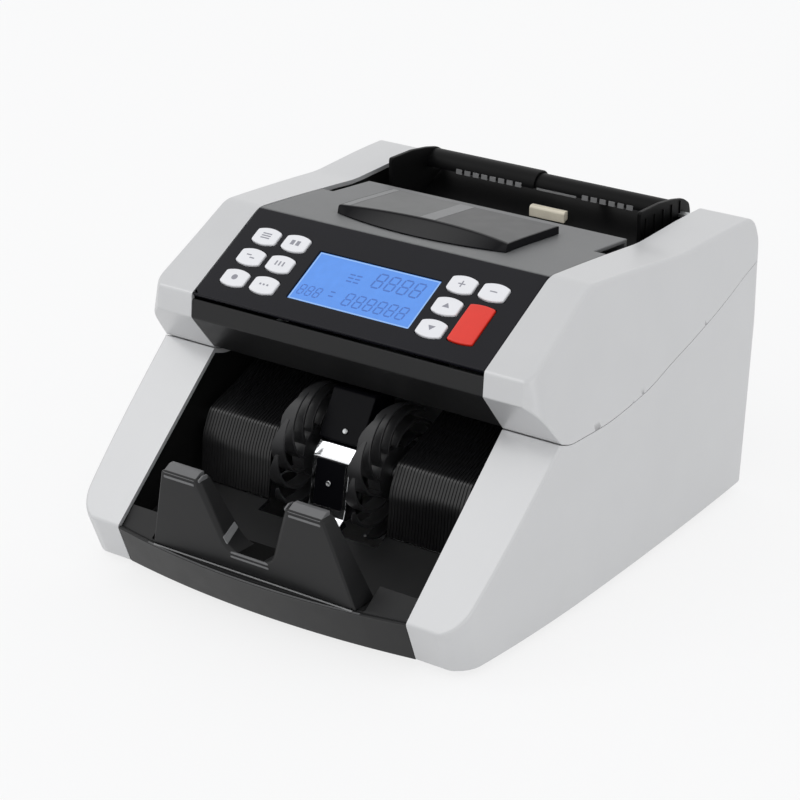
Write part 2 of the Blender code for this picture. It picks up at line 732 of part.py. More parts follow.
def finger_point(tip_angle, along, side):
    """A point on a stacker finger: along runs from its tip (0) to its root (1); side is 1 outside, -1 inside."""
    radius = WHEEL_RADIUS - FINGER_TIP_HALF - (WHEEL_RADIUS - WHEEL_HUB_RADIUS) * along ** 1.6
    half = FINGER_TIP_HALF + (FINGER_ROOT_HALF - FINGER_TIP_HALF) * along
    angle = tip_angle + math.radians(FINGER_SPAN_DEG) * along
    reach = max(radius + side * half, WHEEL_HUB_RADIUS - FINGER_ROOT_HALF)
    return (reach * math.cos(angle), reach * math.sin(angle))


def wheel_outline():
    """A hub with curved fingers, whose slots take the notes one by one."""
    points = []
    for k in range(WHEEL_FINGERS, 0, -1):
        tip = 2 * math.pi * k / WHEEL_FINGERS + math.radians(WHEEL_PHASE_DEG)
        outer = [finger_point(tip, i / FINGER_STEPS, 1) for i in range(FINGER_STEPS, -1, -1)]
        inner = [finger_point(tip, i / FINGER_STEPS, -1) for i in range(FINGER_STEPS)]
        points += outer + inner
    return points


def make_wheels(finish, empties):
    bore = circle((0, 0), SHAFT_RADIUS + GAP)
    for hand, sign in (("left", -1), ("right", 1)):
        middle = sign * WHEEL_PLACE
        flat_solid(f"stacker_wheel_{hand}", [wheel_outline(), bore], middle - WHEEL_WIDTH / 2,
                   middle + WHEEL_WIDTH / 2, "yz", finish, empties["stacker"])


# Controls


def make_panel_datum():
    """The control panel's plane: X across, Y up the slope, Z out of the face."""
    datum = bpy.data.objects.new("panel_datum", None)
    PARTS.objects.link(datum)
    datum.parent = ROOT
    datum.location = (0, PANEL_FRONT[0], PANEL_FRONT[1])
    datum.rotation_euler = (PANEL_SLOPE, 0, 0)
    return datum


def key_outline(width, height, end_height):
    """A key with straight ends and bowed long sides."""
    bow = (height - end_height) / 2
    radius = ((width / 2) ** 2 + bow ** 2) / (2 * bow)
    half_angle = math.degrees(math.asin(width / 2 / radius))
    drop = height / 2 - radius
    top = arc((0, drop), radius, 90 - half_angle, 90 + half_angle, 6)
    bottom = [(-u, -v) for u, v in top]
    return top + bottom


def key_table():
    """Each key's name, place in the panel, outline and whether it is the red start key."""
    keys = []
    for name, shares in zip(KEY_NAMES, LEFT_KEY_SHARES + RIGHT_KEY_SHARES):
        keys.append((name, shares, key_outline(KEY_WIDTH, KEY_HEIGHT, KEY_END_HEIGHT)))
    start_ends = START_KEY_HEIGHT - (KEY_HEIGHT - KEY_END_HEIGHT) / 2
    keys.append(("start_key", START_KEY_SHARES, key_outline(START_KEY_WIDTH, START_KEY_HEIGHT, start_ends)))
    return [(name, (u * MOUTH_HALF, v * PANEL_LENGTH), outline) for name, (u, v), outline in keys]


def make_controls(mats, datum):
    keys = key_table()
    display_place = (DISPLAY_SHARES[0] * MOUTH_HALF, DISPLAY_SHARES[1] * PANEL_LENGTH)
    holes = [shifted(inset(outline, -KEY_CLEARANCE), *place) for _, place, outline in keys]
    window = rectangle(display_place, DISPLAY_WIDTH + 2 * GAP, DISPLAY_HEIGHT + 2 * GAP)
    edge = rectangle((0, PANEL_LENGTH / 2), 2 * TRIM_HALF, PANEL_LENGTH - 2 * GAP)
    flat_solid("control_panel", [edge, window, *holes], -PANEL_SHEET, 0, "xy", mats["black"], datum)
    glass = rectangle(display_place, DISPLAY_WIDTH, DISPLAY_HEIGHT)
    flat_solid("display_window", [glass], -PANEL_SHEET, -PANEL_SHEET + DISPLAY_SHEET, "xy", mats["display"], datum)
    board = rectangle((0, PANEL_LENGTH / 2), 2 * (TRIM_HALF - BOARD_MARGIN), PANEL_LENGTH - 2 * BOARD_MARGIN)
    top = -(PANEL_SHEET + KEY_TRAVEL + 2 * GAP)
    control_board = flat_solid("control_board", [board], top - BOARD_SHEET, top, "xy", mats["board"], datum)
    riser = rectangle(display_place, DISPLAY_WIDTH - BOARD_MARGIN, DISPLAY_HEIGHT - BOARD_MARGIN)
    join(control_board, flat_solid("display_riser", [riser], top - BOARD_SHEET / 2, -PANEL_SHEET - GAP, "xy", None,
                                   datum))
    for name, place, outline in keys:
        finish = mats["red"] if name == "start_key" else mats["white"]
        key = flat_solid(name, [outline], -PANEL_SHEET - GAP, KEY_PROUD, "xy", finish, datum)
        key.location = (place[0], place[1], 0)
        add_bevel(key, KEY_PROUD / 3, segments=1, angle_deg=60)


def make_fascia(finish):
    """The strip under the control panel and its return under the housing."""
    line = [(PANEL_FRONT[0] + GAP, PANEL_FRONT[1] - PANEL_SHEET - GAP), FASCIA_BOTTOM,
            (WAIST[0] - GAP, WAIST[1] + 2 * GAP)]
    flat_solid("fascia", [strip(line, FASCIA_SHEET)], -TRIM_HALF, TRIM_HALF, "yz", finish)


# Top


def cover_line():
    lip = spot(COVER_LIP_SHARES)
    rear = (lip[0], TOP_EDGE[2][1])
    return [(PANEL_TOP[0] + GAP, PANEL_TOP[1] - GAP), TOP_EDGE[0], TOP_EDGE[1], rear, lip]


def make_top_cover(finish):
    """The sheet behind the control panel, turned down at the hopper's mouth, notched at its rear corners."""
    line = cover_line()
    outline = strip(line, COVER_SHEET, -1)
    outline[-1] = (outline[-1][0] + PANEL_SHEET, outline[-1][1])
    cover = flat_solid("top_cover", [outline], -TRIM_HALF, TRIM_HALF, "yz", finish)
    rear = line[3][0] + OVERRUN
    for hand, sign in (("left", -1), ("right", 1)):
        across = sorted((sign * (TRIM_HALF - NOTCH_WIDTH), sign * (TRIM_HALF + OVERRUN)))
        low = (across[0], rear - NOTCH_LENGTH, line[4][1] - OVERRUN)
        high = (across[1], rear + OVERRUN, CASE_HEIGHT)
        cut(cover, box(f"cover_notch_{hand}", low, high, None))


def height_on_cover(back):
    line = cover_line()
    for (y0, z0), (y1, z1) in zip(line, line[1:4]):
        if back <= y1:
            return z0 + (z1 - z0) * (back - y0) / (y1 - y0)
    return line[3][1]


def make_raised_lid(finish):
    """A raised plate on the top cover, whose front edge bows forwards at its foot."""
    front = LID_FRONT_SHARE * CASE_DEPTH
    rear = LID_REAR_SHARE * CASE_DEPTH
    backs = [front + (rear - front) * i / 3 for i in range(4)]
    top_front = front + LID_HEIGHT / 2
    sections = []
    for i in range(LID_STEPS + 1):
        x = LID_HALF * (2 * i / LID_STEPS - 1)
        foot = front - LID_BOW * (1 - (x / LID_HALF) ** 2)
        foot_line = [foot] + backs[1:]
        under = [(x, y, height_on_cover(y) + GAP) for y in foot_line]
        top = [(x, y, height_on_cover(y) + LID_HEIGHT) for y in [top_front] + backs[1:]]
        sections.append(under + top[::-1])
    loft("raised_lid", sections, finish)


# Hopper


def make_hopper_floor(finish):
    """The slope that the uncounted notes lie on, with slots for the pickup rollers."""
    line = spots(HOPPER_FLOOR_SHARES)
    floor = flat_solid("hopper_floor", [strip(line, HOPPER_SHEET)], -TRIM_HALF, TRIM_HALF, "yz", finish)
    half = PICKUP_ROLLER_WIDTH / 2 + WHEEL_CLEARANCE / 2
    reach = PICKUP_ROLLER_RADIUS + WHEEL_CLEARANCE / 2
    for hand, sign in (("left", -1), ("right", 1)):
        middle = sign * PICKUP_ROLLER_PLACE
        low = (middle - half, PICKUP_AXIS[0] - reach, PICKUP_AXIS[1])
        high = (middle + half, PICKUP_AXIS[0] + reach, CASE_HEIGHT)
        cut(floor, box(f"hopper_slot_{hand}", low, high, None))


def floor_height(back):
    line = spots(HOPPER_FLOOR_SHARES)
    (y1, z1), (y0, z0) = line[1], line[2]
    return z0 + (z1 - z0) * (back - y0) / (y1 - y0)


def make_friction_block(finish):
    front = BLOCK_FRONT_SHARE * CASE_DEPTH
    rear = front + BLOCK_DEPTH
    top = floor_height(front) + BLOCK_HEIGHT
    shoulder = BLOCK_DEPTH / 4
    outline = [(front, floor_height(front) + GAP), (rear, floor_height(rear) + GAP), (rear, top),
               (front + shoulder, top), (front, top - shoulder)]
    flat_solid("friction_block", [outline], BLOCK_PLACE - BLOCK_HALF, BLOCK_PLACE + BLOCK_HALF, "yz", finish)


def fin_outline():
    """A hopper guide's upright plate: it follows the hopper's floor below and is rounded at the rear."""
    lift = FIN_LIFT_SHARE * CASE_HEIGHT
    top = spots(FIN_TOP_SHARES)
    rear = spot(FIN_REAR_SHARES)
    floor_end = spot(HOPPER_FLOOR_SHARES[1])
    low_front = (top[0][0], floor_height(top[0][0]) + lift)
    return top + [rear, (rear[0], floor_end[1] + 2 * lift), (floor_end[0], floor_end[1] + lift), low_front]


def half_tube(radius, thickness):
    """The section of a guide's cover over the rail: a half ring, open below."""
    outer = arc(RAIL_AXIS, radius, 0, 180, 10)
    inner = arc(RAIL_AXIS, radius - thickness, 180, 0, 10)
    return outer + inner


def make_hopper_guides(finish, empties):
    """Two sliding side guides. The right one's half tube runs inside the left one's."""
    inner_radius = BAR_RADIUS - BAR_SHEET - GAP
    specs = (("left", -1, BAR_RADIUS, -BAR_END, BAR_MEETING),
             ("right", 1, inner_radius, BAR_MEETING - BAR_OVERLAP, BAR_END))
    for hand, sign, radius, low, high in specs:
        middle = sign * FIN_PLACE
        parent = empties[f"guide_{hand}"]
        rail_hole = circle(RAIL_AXIS, RAIL_RADIUS + GAP, 16)
        guide = flat_solid(f"hopper_guide_{hand}", [fin_outline(), rail_hole], middle - FIN_SHEET / 2,
                           middle + FIN_SHEET / 2, "yz", finish, parent)
        if sign < 0:
            span = (middle, high)
        else:
            span = (low, middle)
        join(guide, flat_solid(f"guide_bar_{hand}", [half_tube(radius, BAR_SHEET)], *span, "yz", None, parent))


def make_guide_rail(finish):
    half = FRAME_IN - GAP
    rail = turned("guide_rail", [(0, half), (RAIL_RADIUS, half), (RAIL_RADIUS, -half), (0, -half)], finish, steps=12)
    lay_along_x(rail, RAIL_AXIS)


def make_knob(finish, empties):
    """The note thickness adjuster, on the ledge behind the guide bars."""
    ledge = spot(HOPPER_FLOOR_SHARES[1])[1] + 2 * GAP
    flutes = 10
    outline = []
    for i in range(2 * flutes):
        radius = KNOB_RADIUS * (1.0 if i % 2 == 0 else 0.88)
        angle = math.pi * i / flutes
        outline.append((radius * math.cos(angle), radius * math.sin(angle)))
    place = spot(HOPPER_FLOOR_SHARES[0])
    flat_solid("adjusting_knob", [outline], 0, KNOB_HEIGHT, "xy", finish, empties["knob"])
    empties["knob"].location = (KNOB_PLACE, place[0] - KNOB_RADIUS - GAP, max(ledge, place[1]) + GAP)


# Drive


def pulley(middle, radius, width=BELT_WIDTH + 2 * GAP):
    """A flanged pulley's steps in a shaft's profile, from high to low."""
    high, low = middle + width / 2, middle - width / 2
    rim = radius + PULLEY_FLANGE
    return [(SHAFT_RADIUS, high + PULLEY_CHEEK), (rim, high + PULLEY_CHEEK), (rim, high), (radius, high),
            (radius, low), (rim, low), (rim, low - PULLEY_CHEEK), (SHAFT_RADIUS, low - PULLEY_CHEEK)]


FIRST_BELT_X = FRAME_OUT + PULLEY_CHEEK + BELT_WIDTH
SECOND_BELT_X = FIRST_BELT_X + BELT_WIDTH + 2 * PULLEY_CHEEK + 4 * GAP
SHAFT_END_X = SECOND_BELT_X + BELT_WIDTH
IDLE_END_X = FRAME_OUT + 2 * PULLEY_CHEEK


def make_feed_shaft(finish, empties):
    """The main shaft: two pulleys on the right, one on the left and the encoder disc beyond it."""
    disc = -SECOND_BELT_X
    profile = [(0, SHAFT_END_X), (SHAFT_RADIUS, SHAFT_END_X), *pulley(SECOND_BELT_X, SECOND_PULLEY_RADIUS),
               *pulley(FIRST_BELT_X, FEED_PULLEY_RADIUS), *pulley(-FIRST_BELT_X, SECOND_PULLEY_RADIUS),
               (SHAFT_RADIUS, disc + ENCODER_SHEET), (ENCODER_RADIUS, disc + ENCODER_SHEET), (ENCODER_RADIUS, disc),
               (SHAFT_RADIUS, disc), (SHAFT_RADIUS, disc - BELT_WIDTH / 2), (0, disc - BELT_WIDTH / 2)]
    shaft = turned("feed_shaft", profile, finish, empties["feed"])
    lay_along_x(shaft, (0, 0))


def make_stacker_shaft(finish, empties):
    profile = [(0, SHAFT_END_X), (SHAFT_RADIUS, SHAFT_END_X), *pulley(SECOND_BELT_X, SECOND_PULLEY_RADIUS),
               (SHAFT_RADIUS, -IDLE_END_X), (0, -IDLE_END_X)]
    shaft = turned("stacker_shaft", profile, finish, empties["stacker"])
    lay_along_x(shaft, (0, 0))


def make_pickup_shaft(finish, empties):
    end = FIRST_BELT_X + BELT_WIDTH
    profile = [(0, IDLE_END_X), (SHAFT_RADIUS, IDLE_END_X), *pulley(-FIRST_BELT_X, SECOND_PULLEY_RADIUS),
               (SHAFT_RADIUS, -end), (0, -end)]
    shaft = turned("pickup_shaft", profile, finish, empties["pickup"])
    lay_along_x(shaft, (0, 0))


def make_rollers(finish, empties):
    for name, radius, width, across in (("feed", FEED_ROLLER_RADIUS, FEED_ROLLER_WIDTH, FEED_ROLLER_PLACE),
                                        ("pickup", PICKUP_ROLLER_RADIUS, PICKUP_ROLLER_WIDTH,
                                         PICKUP_ROLLER_PLACE)):
        bore = SHAFT_RADIUS + GAP
        for hand, sign in (("left", -1), ("right", 1)):
            profile = [(bore, width / 2), (radius, width / 2), (radius, -width / 2), (bore, -width / 2)]
            roller = turned(f"{name}_roller_{hand}", profile, finish, empties[name])
            lay_along_x(roller, (0, 0), sign * across)


def make_motor(mats, empties):
    face = FRAME_IN - GAP
    motor = turned("drive_motor", [(0, face), (MOTOR_RADIUS, face), (MOTOR_RADIUS, face - MOTOR_LENGTH),
                                   (0, face - MOTOR_LENGTH)], mats["steel"])
    lay_along_x(motor, MOTOR_AXIS)
    high = FIRST_BELT_X + BELT_WIDTH / 2 + GAP
    low = FIRST_BELT_X - BELT_WIDTH / 2 - GAP
    rim = MOTOR_PULLEY_RADIUS + PULLEY_FLANGE
    profile = [(0, high + PULLEY_CHEEK), (rim, high + PULLEY_CHEEK), (rim, high), (MOTOR_PULLEY_RADIUS, high),
               (MOTOR_PULLEY_RADIUS, low), (rim, low), (rim, low - PULLEY_CHEEK),
               (MOTOR_SHAFT_RADIUS, low - PULLEY_CHEEK), (MOTOR_SHAFT_RADIUS, face + GAP), (0, face + GAP)]
    lay_along_x(turned("motor_pulley", profile, mats["steel"], empties["motor"]), (0, 0))


def belt_loop(a, radius_a, b, radius_b):
    """A belt's outline round two pulleys: two arcs joined by their straight tangents."""
    span = math.hypot(b[0] - a[0], b[1] - a[1])
    line = math.degrees(math.atan2(b[1] - a[1], b[0] - a[0]))
    tangent = math.degrees(math.acos((radius_a - radius_b) / span))
    steps = ROUND_STEPS // 2
    first = arc(b, radius_b, line - tangent, line + tangent, steps)
    second = arc(a, radius_a, line + tangent, line + 360 - tangent, steps)
    return first + second


def make_belt(name, a, radius_a, b, radius_b, x, finish):
    inner = belt_loop(a, radius_a + GAP, b, radius_b + GAP)
    outer = belt_loop(a, radius_a + GAP + BELT_SHEET, b, radius_b + GAP + BELT_SHEET)
    flat_solid(name, [outer, inner], x - BELT_WIDTH / 2, x + BELT_WIDTH / 2, "yz", finish)


def make_belts(finish):
    make_belt("drive_belt", FEED_AXIS, FEED_PULLEY_RADIUS, MOTOR_AXIS, MOTOR_PULLEY_RADIUS, FIRST_BELT_X, finish)
    make_belt("stacker_belt", FEED_AXIS, SECOND_PULLEY_RADIUS, WHEEL_AXIS, SECOND_PULLEY_RADIUS, SECOND_BELT_X,
              finish)
    make_belt("pickup_belt", FEED_AXIS, SECOND_PULLEY_RADIUS, PICKUP_AXIS, SECOND_PULLEY_RADIUS, -FIRST_BELT_X,
              finish)


# Rear fittings


def make_inlet(finish):
    """The mains inlet: a flanged socket body with its recess."""
    place = (INLET_PLACE_SHARES[0] * MOUTH_HALF, INLET_PLACE_SHARES[1] * CASE_HEIGHT)
    panel = REAR_BOTTOM[0] - REAR_SETBACK
    face = panel + REAR_SHEET + GAP
    body = rectangle(place, INLET_WIDTH, INLET_HEIGHT)
    flange = rectangle(place, INLET_WIDTH + 2 * INLET_FLANGE, INLET_HEIGHT + 2 * INLET_FLANGE)
    recess = inset(body, INLET_WALL)
    thick = REAR_SETBACK - REAR_SHEET
    inlet = flat_solid("power_inlet", [body], face - INLET_DEPTH, face + thick / 2, "xz", finish)
    join(inlet, flat_solid("inlet_flange", [flange], face, face + thick, "xz", None))
    cut(inlet, flat_solid("inlet_recess", [recess], face - INLET_DEPTH + INLET_WALL, face + OVERRUN, "xz", None))


def make_switch(finish, empties):
    """The power rocker, at rest with its lower half pressed in."""
    half = SWITCH_HEIGHT / 2
    outline = [(-SWITCH_DEPTH / 2, -half + SWITCH_DISH), (SWITCH_DEPTH / 2, -half), (SWITCH_DEPTH / 2 - SWITCH_DISH, 0),
               (SWITCH_DEPTH / 2, half), (-SWITCH_DEPTH / 2, half - SWITCH_DISH)]
    rocker = flat_solid("power_switch", [outline], -SWITCH_WIDTH / 2, SWITCH_WIDTH / 2, "yz", finish,
                        empties["switch"])
    rocker.rotation_euler = (math.radians(SWITCH_TILT_DEG), 0, 0)


def make_power_supply(finish):
    rear = REAR_BOTTOM[0] - REAR_SETBACK - INLET_DEPTH - OVERRUN
    x = INLET_PLACE_SHARES[0] * MOUTH_HALF
    low = (x - SUPPLY_WIDTH / 2, rear - SUPPLY_DEPTH, BASE_SHEET + GAP)
    high = (x + SUPPLY_WIDTH / 2, rear, BASE_SHEET + GAP + SUPPLY_HEIGHT)
    box("power_supply", low, high, finish, bevel=BASE_SHEET / 2)


def make_empties():
    """One empty on each joint's axis, for the pieces that turn or slide with it."""
    switch_x = SWITCH_PLACE_SHARES[0] * MOUTH_HALF
    switch_z = SWITCH_PLACE_SHARES[1] * CASE_HEIGHT
    places = {
        "stacker": (0, *WHEEL_AXIS),
        "feed": (0, *FEED_AXIS),
        "pickup": (0, *PICKUP_AXIS),
        "motor": (0, *MOTOR_AXIS),
        "switch": (switch_x, REAR_BOTTOM[0] - REAR_SETBACK + REAR_SHEET / 2, switch_z),
        "knob": (0, 0, 0),
        "guide_left": (0, 0, 0),
        "guide_right": (0, 0, 0),
    }
    made = {}
    for name, place in places.items():
        made[name] = bpy.data.objects.new(f"{name}_axis", None)
        PARTS.objects.link(made[name])
        made[name].parent = ROOT
        made[name].location = place
    return made


def main():
    global ROOT, PARTS, CUTTERS
    clear_scene()
    PARTS = new_collection("banknote_counter")
    CUTTERS = new_collection("cutters")
    ROOT = bpy.data.objects.new("case_datum", None)
    PARTS.objects.link(ROOT)
    ROOT.location = (0, CASE_FRONT_Y, FOOT_HEIGHT)
    mats = make_materials()
    empties = make_empties()
    panel_datum = make_panel_datum()
    make_covers(mats["silver"])
    make_side_plates(mats["frame"])
    make_base_plate(mats["steel"])
    make_feet(mats["rubber"])
    make_rear_cover(mats["dark"])
    make_front_base(mats["black"])
    make_tray_floor(mats["black"])
    make_note_guides(mats["black"])
    make_centre_post(mats["chrome"])
    make_sensor_housing(mats["black"])
    make_throat_plate(mats["black"])
    make_stop_bracket(mats["dark"])
    make_wheels(mats["black"], empties)
    make_controls(mats, panel_datum)
    make_fascia(mats["dark"])
    make_top_cover(mats["grey"])
    make_raised_lid(mats["grey"])
    make_hopper_floor(mats["dark"])
    make_friction_block(mats["ivory"])
    make_hopper_guides(mats["black"], empties)
    make_guide_rail(mats["steel"])
    make_knob(mats["black"], empties)
    make_feed_shaft(mats["steel"], empties)
    make_stacker_shaft(mats["steel"], empties)
    make_pickup_shaft(mats["steel"], empties)
    make_rollers(mats["rubber"], empties)
    make_motor(mats, empties)
    make_belts(mats["rubber"])
    make_inlet(mats["black"])
    make_switch(mats["black"], empties)
    make_power_supply(mats["steel"])


main()
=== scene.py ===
"""Looks of the banknote counter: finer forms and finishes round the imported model, with its stage.

Tables are in millimetres in the case's own frame: distance back from the side covers' bottom front corner,
and height above their bottom edge. SIDE, PLAN, FRONT, PANEL and REAR carry them to the model's metres.
"""

import math

import bmesh
import bpy
import numpy as np
from mathutils import Matrix, Vector, geometry


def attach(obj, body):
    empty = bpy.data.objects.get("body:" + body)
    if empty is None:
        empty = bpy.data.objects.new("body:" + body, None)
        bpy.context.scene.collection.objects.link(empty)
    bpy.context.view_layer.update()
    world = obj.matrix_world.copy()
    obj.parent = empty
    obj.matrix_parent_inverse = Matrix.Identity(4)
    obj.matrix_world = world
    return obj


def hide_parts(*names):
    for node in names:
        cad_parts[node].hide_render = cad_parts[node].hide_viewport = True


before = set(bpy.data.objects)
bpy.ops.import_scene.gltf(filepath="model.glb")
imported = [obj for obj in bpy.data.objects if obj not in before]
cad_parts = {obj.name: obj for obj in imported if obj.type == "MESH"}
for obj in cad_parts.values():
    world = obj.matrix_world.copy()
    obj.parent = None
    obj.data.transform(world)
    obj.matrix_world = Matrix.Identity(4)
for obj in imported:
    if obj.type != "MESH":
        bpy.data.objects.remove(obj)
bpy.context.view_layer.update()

MM = 0.001
CASE = Matrix.Translation((0, -0.134402, 0.004)) @ Matrix.Diagonal((MM, MM, MM, 1))
SIDE = CASE @ Matrix(((0, 0, 1, 0), (1, 0, 0, 0), (0, 1, 0, 0), (0, 0, 0, 1)))
PLAN = CASE
FRONT = CASE @ Matrix(((1, 0, 0, 0), (0, 0, -1, 0), (0, 1, 0, 0), (0, 0, 0, 1)))
PANEL_FRONT = (58.696, 139.2075)
PANEL_SLOPE = math.atan2(33.2925, 60.204)
PANEL_LENGTH = math.hypot(33.2925, 60.204)
PANEL = CASE @ Matrix.Translation((0, *PANEL_FRONT)) @ Matrix.Rotation(PANEL_SLOPE, 4, "X")
MOUTH = 95.8
SHEET = 2.5


# Materials


def shader_of(mat):
    return mat.node_tree.nodes["Principled BSDF"]


def finish(name, colour, rough, metallic=0.0, grain=0.0, grain_size=0.4, mottle=0.04, mottle_size=9.0,
           rough_spread=0.05, stretch=(1, 1, 1), coat=0.0, coat_rough=0.1, emit=0.0, specular=0.5):
    """A moulded, painted or bare surface: slight tone and gloss changes, and a fine raised grain."""
    mat = bpy.data.materials.new(name)
    mat.use_nodes = True
    nodes, links = mat.node_tree.nodes, mat.node_tree.links
    shader = shader_of(mat)
    shader.inputs["Metallic"].default_value = metallic
    shader.inputs["Specular IOR Level"].default_value = specular
    shader.inputs["Coat Weight"].default_value = coat
    shader.inputs["Coat Roughness"].default_value = coat_rough
    place = nodes.new("ShaderNodeTexCoord")
    sized = nodes.new("ShaderNodeMapping")
    sized.inputs["Scale"].default_value = stretch
    links.new(place.outputs["Object"], sized.inputs["Vector"])
    tone = nodes.new("ShaderNodeTexNoise")
    tone.inputs["Scale"].default_value = 1 / (mottle_size * MM)
    tone.inputs["Detail"].default_value = 3
    links.new(sized.outputs["Vector"], tone.inputs["Vector"])
    ramp = nodes.new("ShaderNodeValToRGB")
    ramp.color_ramp.elements[0].position = 0.3
    ramp.color_ramp.elements[1].position = 0.7
    ramp.color_ramp.elements[0].color = (*[c * (1 - mottle) for c in colour], 1)
    ramp.color_ramp.elements[1].color = (*[min(c * (1 + mottle), 1) for c in colour], 1)
    links.new(tone.outputs["Fac"], ramp.inputs["Fac"])
    links.new(ramp.outputs["Color"], shader.inputs["Base Color"])
    gloss = nodes.new("ShaderNodeMapRange")
    gloss.inputs["To Min"].default_value = max(rough - rough_spread, 0.02)
    gloss.inputs["To Max"].default_value = rough + rough_spread
    links.new(tone.outputs["Fac"], gloss.inputs["Value"])
    links.new(gloss.outputs["Result"], shader.inputs["Roughness"])
    if grain:
        fine = nodes.new("ShaderNodeTexNoise")
        fine.inputs["Scale"].default_value = 1 / (grain_size * MM)
        fine.inputs["Detail"].default_value = 2
        links.new(sized.outputs["Vector"], fine.inputs["Vector"])
        bump = nodes.new("ShaderNodeBump")
        bump.inputs["Strength"].default_value = grain
        bump.inputs["Distance"].default_value = grain_size * MM / 4
        links.new(fine.outputs["Fac"], bump.inputs["Height"])
        links.new(bump.outputs["Normal"], shader.inputs["Normal"])
    if emit:
        links.new(ramp.outputs["Color"], shader.inputs["Emission Color"])
        shader.inputs["Emission Strength"].default_value = emit
    return mat


FINISHES = {
    "silver": ("silver_paint", "silver_paint_look", (0.62, 0.622, 0.625), 0.36,
               {"metallic": 0.3, "grain": 0.12, "grain_size": 0.25, "mottle": 0.012, "mottle_size": 30,
                "rough_spread": 0.02, "coat": 0.2, "coat_rough": 0.3}),
    "black": ("black_plastic", "black_plastic_look", (0.003, 0.003, 0.0032), 0.45,
              {"grain": 0.2, "grain_size": 0.3, "specular": 0.12}),
    "gloss": ("black_plastic", "black_gloss_look", (0.006, 0.006, 0.009), 0.26,
              {"grain": 0.05, "grain_size": 0.5, "rough_spread": 0.03, "specular": 0.18}),
    "jet": ("black_plastic", "black_jet_look", (0.003, 0.003, 0.0042), 0.3,
            {"rough_spread": 0.03, "specular": 0.08}),
    "dark": ("dark_plastic", "dark_plastic_look", (0.011, 0.011, 0.0114), 0.42,
             {"grain": 0.3, "grain_size": 0.35, "specular": 0.28}),
    "grey": ("grey_plastic", "grey_plastic_look", (0.165, 0.167, 0.168), 0.5,
             {"grain": 0.3, "grain_size": 0.35, "mottle": 0.02}),
    "panel": ("grey_plastic", "lid_panel_look", (0.10, 0.102, 0.102), 0.42,
              {"grain": 0.15, "grain_size": 0.3, "mottle": 0.02}),
    "lid_dark": ("grey_plastic", "lid_dark_panel_look", (0.05, 0.051, 0.052), 0.42,
                 {"grain": 0.15, "grain_size": 0.3, "mottle": 0.02}),
    "band": ("grey_plastic", "lid_band_look", (0.20, 0.202, 0.203), 0.45,
             {"grain": 0.15, "grain_size": 0.3, "mottle": 0.02}),
    "frame": ("frame_steel", "frame_steel_look", (0.004, 0.004, 0.004), 0.5,
              {"grain": 0.15, "grain_size": 0.6, "specular": 0.25}),
    "key": ("white_key", "white_key_look", (0.88, 0.88, 0.90), 0.38, {"mottle": 0.01, "grain": 0.05}),
    "mark": ("white_key", "key_mark_look", (0.30, 0.30, 0.34), 0.45, {"mottle": 0.02}),
    "red": ("red_key", "red_key_look", (0.80, 0.030, 0.014), 0.32, {"mottle": 0.03, "grain": 0.05}),
    "display": ("display_blue", "display_look", (0.10, 0.29, 0.80), 0.22,
                {"mottle": 0.03, "mottle_size": 5, "coat": 0.3, "coat_rough": 0.05, "emit": 0.14,
                 "specular": 0.3}),
    "border": ("display_blue", "display_border_look", (0.30, 0.52, 0.92), 0.25,
               {"mottle": 0.02, "emit": 0.14}),
    "segment": ("display_blue", "segment_look", (0.055, 0.16, 0.52), 0.3, {"mottle": 0.05, "emit": 0.1}),
    "steel": ("steel", "steel_look", (0.50, 0.51, 0.52), 0.3,
              {"metallic": 1.0, "grain": 0.2, "stretch": (1, 12, 12)}),
    "chrome": ("chrome", "chrome_look", (0.86, 0.87, 0.89), 0.12, {"metallic": 1.0, "rough_spread": 0.02}),
    "rubber": ("rubber", "rubber_look", (0.018, 0.018, 0.018), 0.7, {"grain": 0.4, "grain_size": 0.5}),
    "guide": ("black_plastic", "guide_look", (0.006, 0.006, 0.0064), 0.3, {"grain": 0.1, "specular": 0.5}),
    # Lighter plastic for pale strips and bars that paint highlights on the front base and the stop bracket.
    "cap": ("dark_plastic", "painted_highlight_look", (0.13, 0.13, 0.132), 0.3, {"grain": 0.1}),
    "finger": ("black_plastic", "finger_look", (0.022, 0.022, 0.023), 0.4, {"grain": 0.15}),
    # Pale grey for dashes and beads that paint highlights on the hopper guides' ribs and along the bracket's foot.
    "painted_highlight_dash": ("black_plastic", "painted_highlight_dash_look", (0.26, 0.26, 0.26), 0.3, {"grain": 0.1}),
    "ivory": ("ivory_rubber", "ivory_look", (0.95, 0.87, 0.70), 0.6,
              {"grain": 0.5, "grain_size": 0.7, "mottle": 0.06}),
    "board": ("circuit_board", "board_look", (0.015, 0.13, 0.05), 0.35, {"mottle": 0.2, "mottle_size": 2}),
    # Near black for a flat sheet that paints the shade in the bracket sill's recess.
    "hole": ("black_plastic", "recess_painted_shade_look", (0.002, 0.002, 0.002), 0.7, {"specular": 0.1}),
}
LOOKS = {look: (slot, finish(name, colour, rough, **rest))
         for look, (slot, name, colour, rough, rest) in FINISHES.items()}


def even_shading(obj):
    """Keeps flat faces flat in shade beside their rounded edges."""
    even = obj.modifiers.new("even_shading", "WEIGHTED_NORMAL")
    even.keep_sharp = True
    even.weight = 60


def piece(name, mesh, look, body="case", stands_for=(), crease=38):
    obj = bpy.data.objects.new(name, mesh)
    bpy.context.scene.collection.objects.link(obj)
    slot, mat = LOOKS[look]
    mesh.materials.append(mat)
    mesh.shade_smooth()
    mesh.set_sharp_from_angle(angle=math.radians(crease))
    even_shading(obj)
    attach(obj, body)
    if stands_for:
        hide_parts(*stands_for)
    return obj


# Outlines and solids


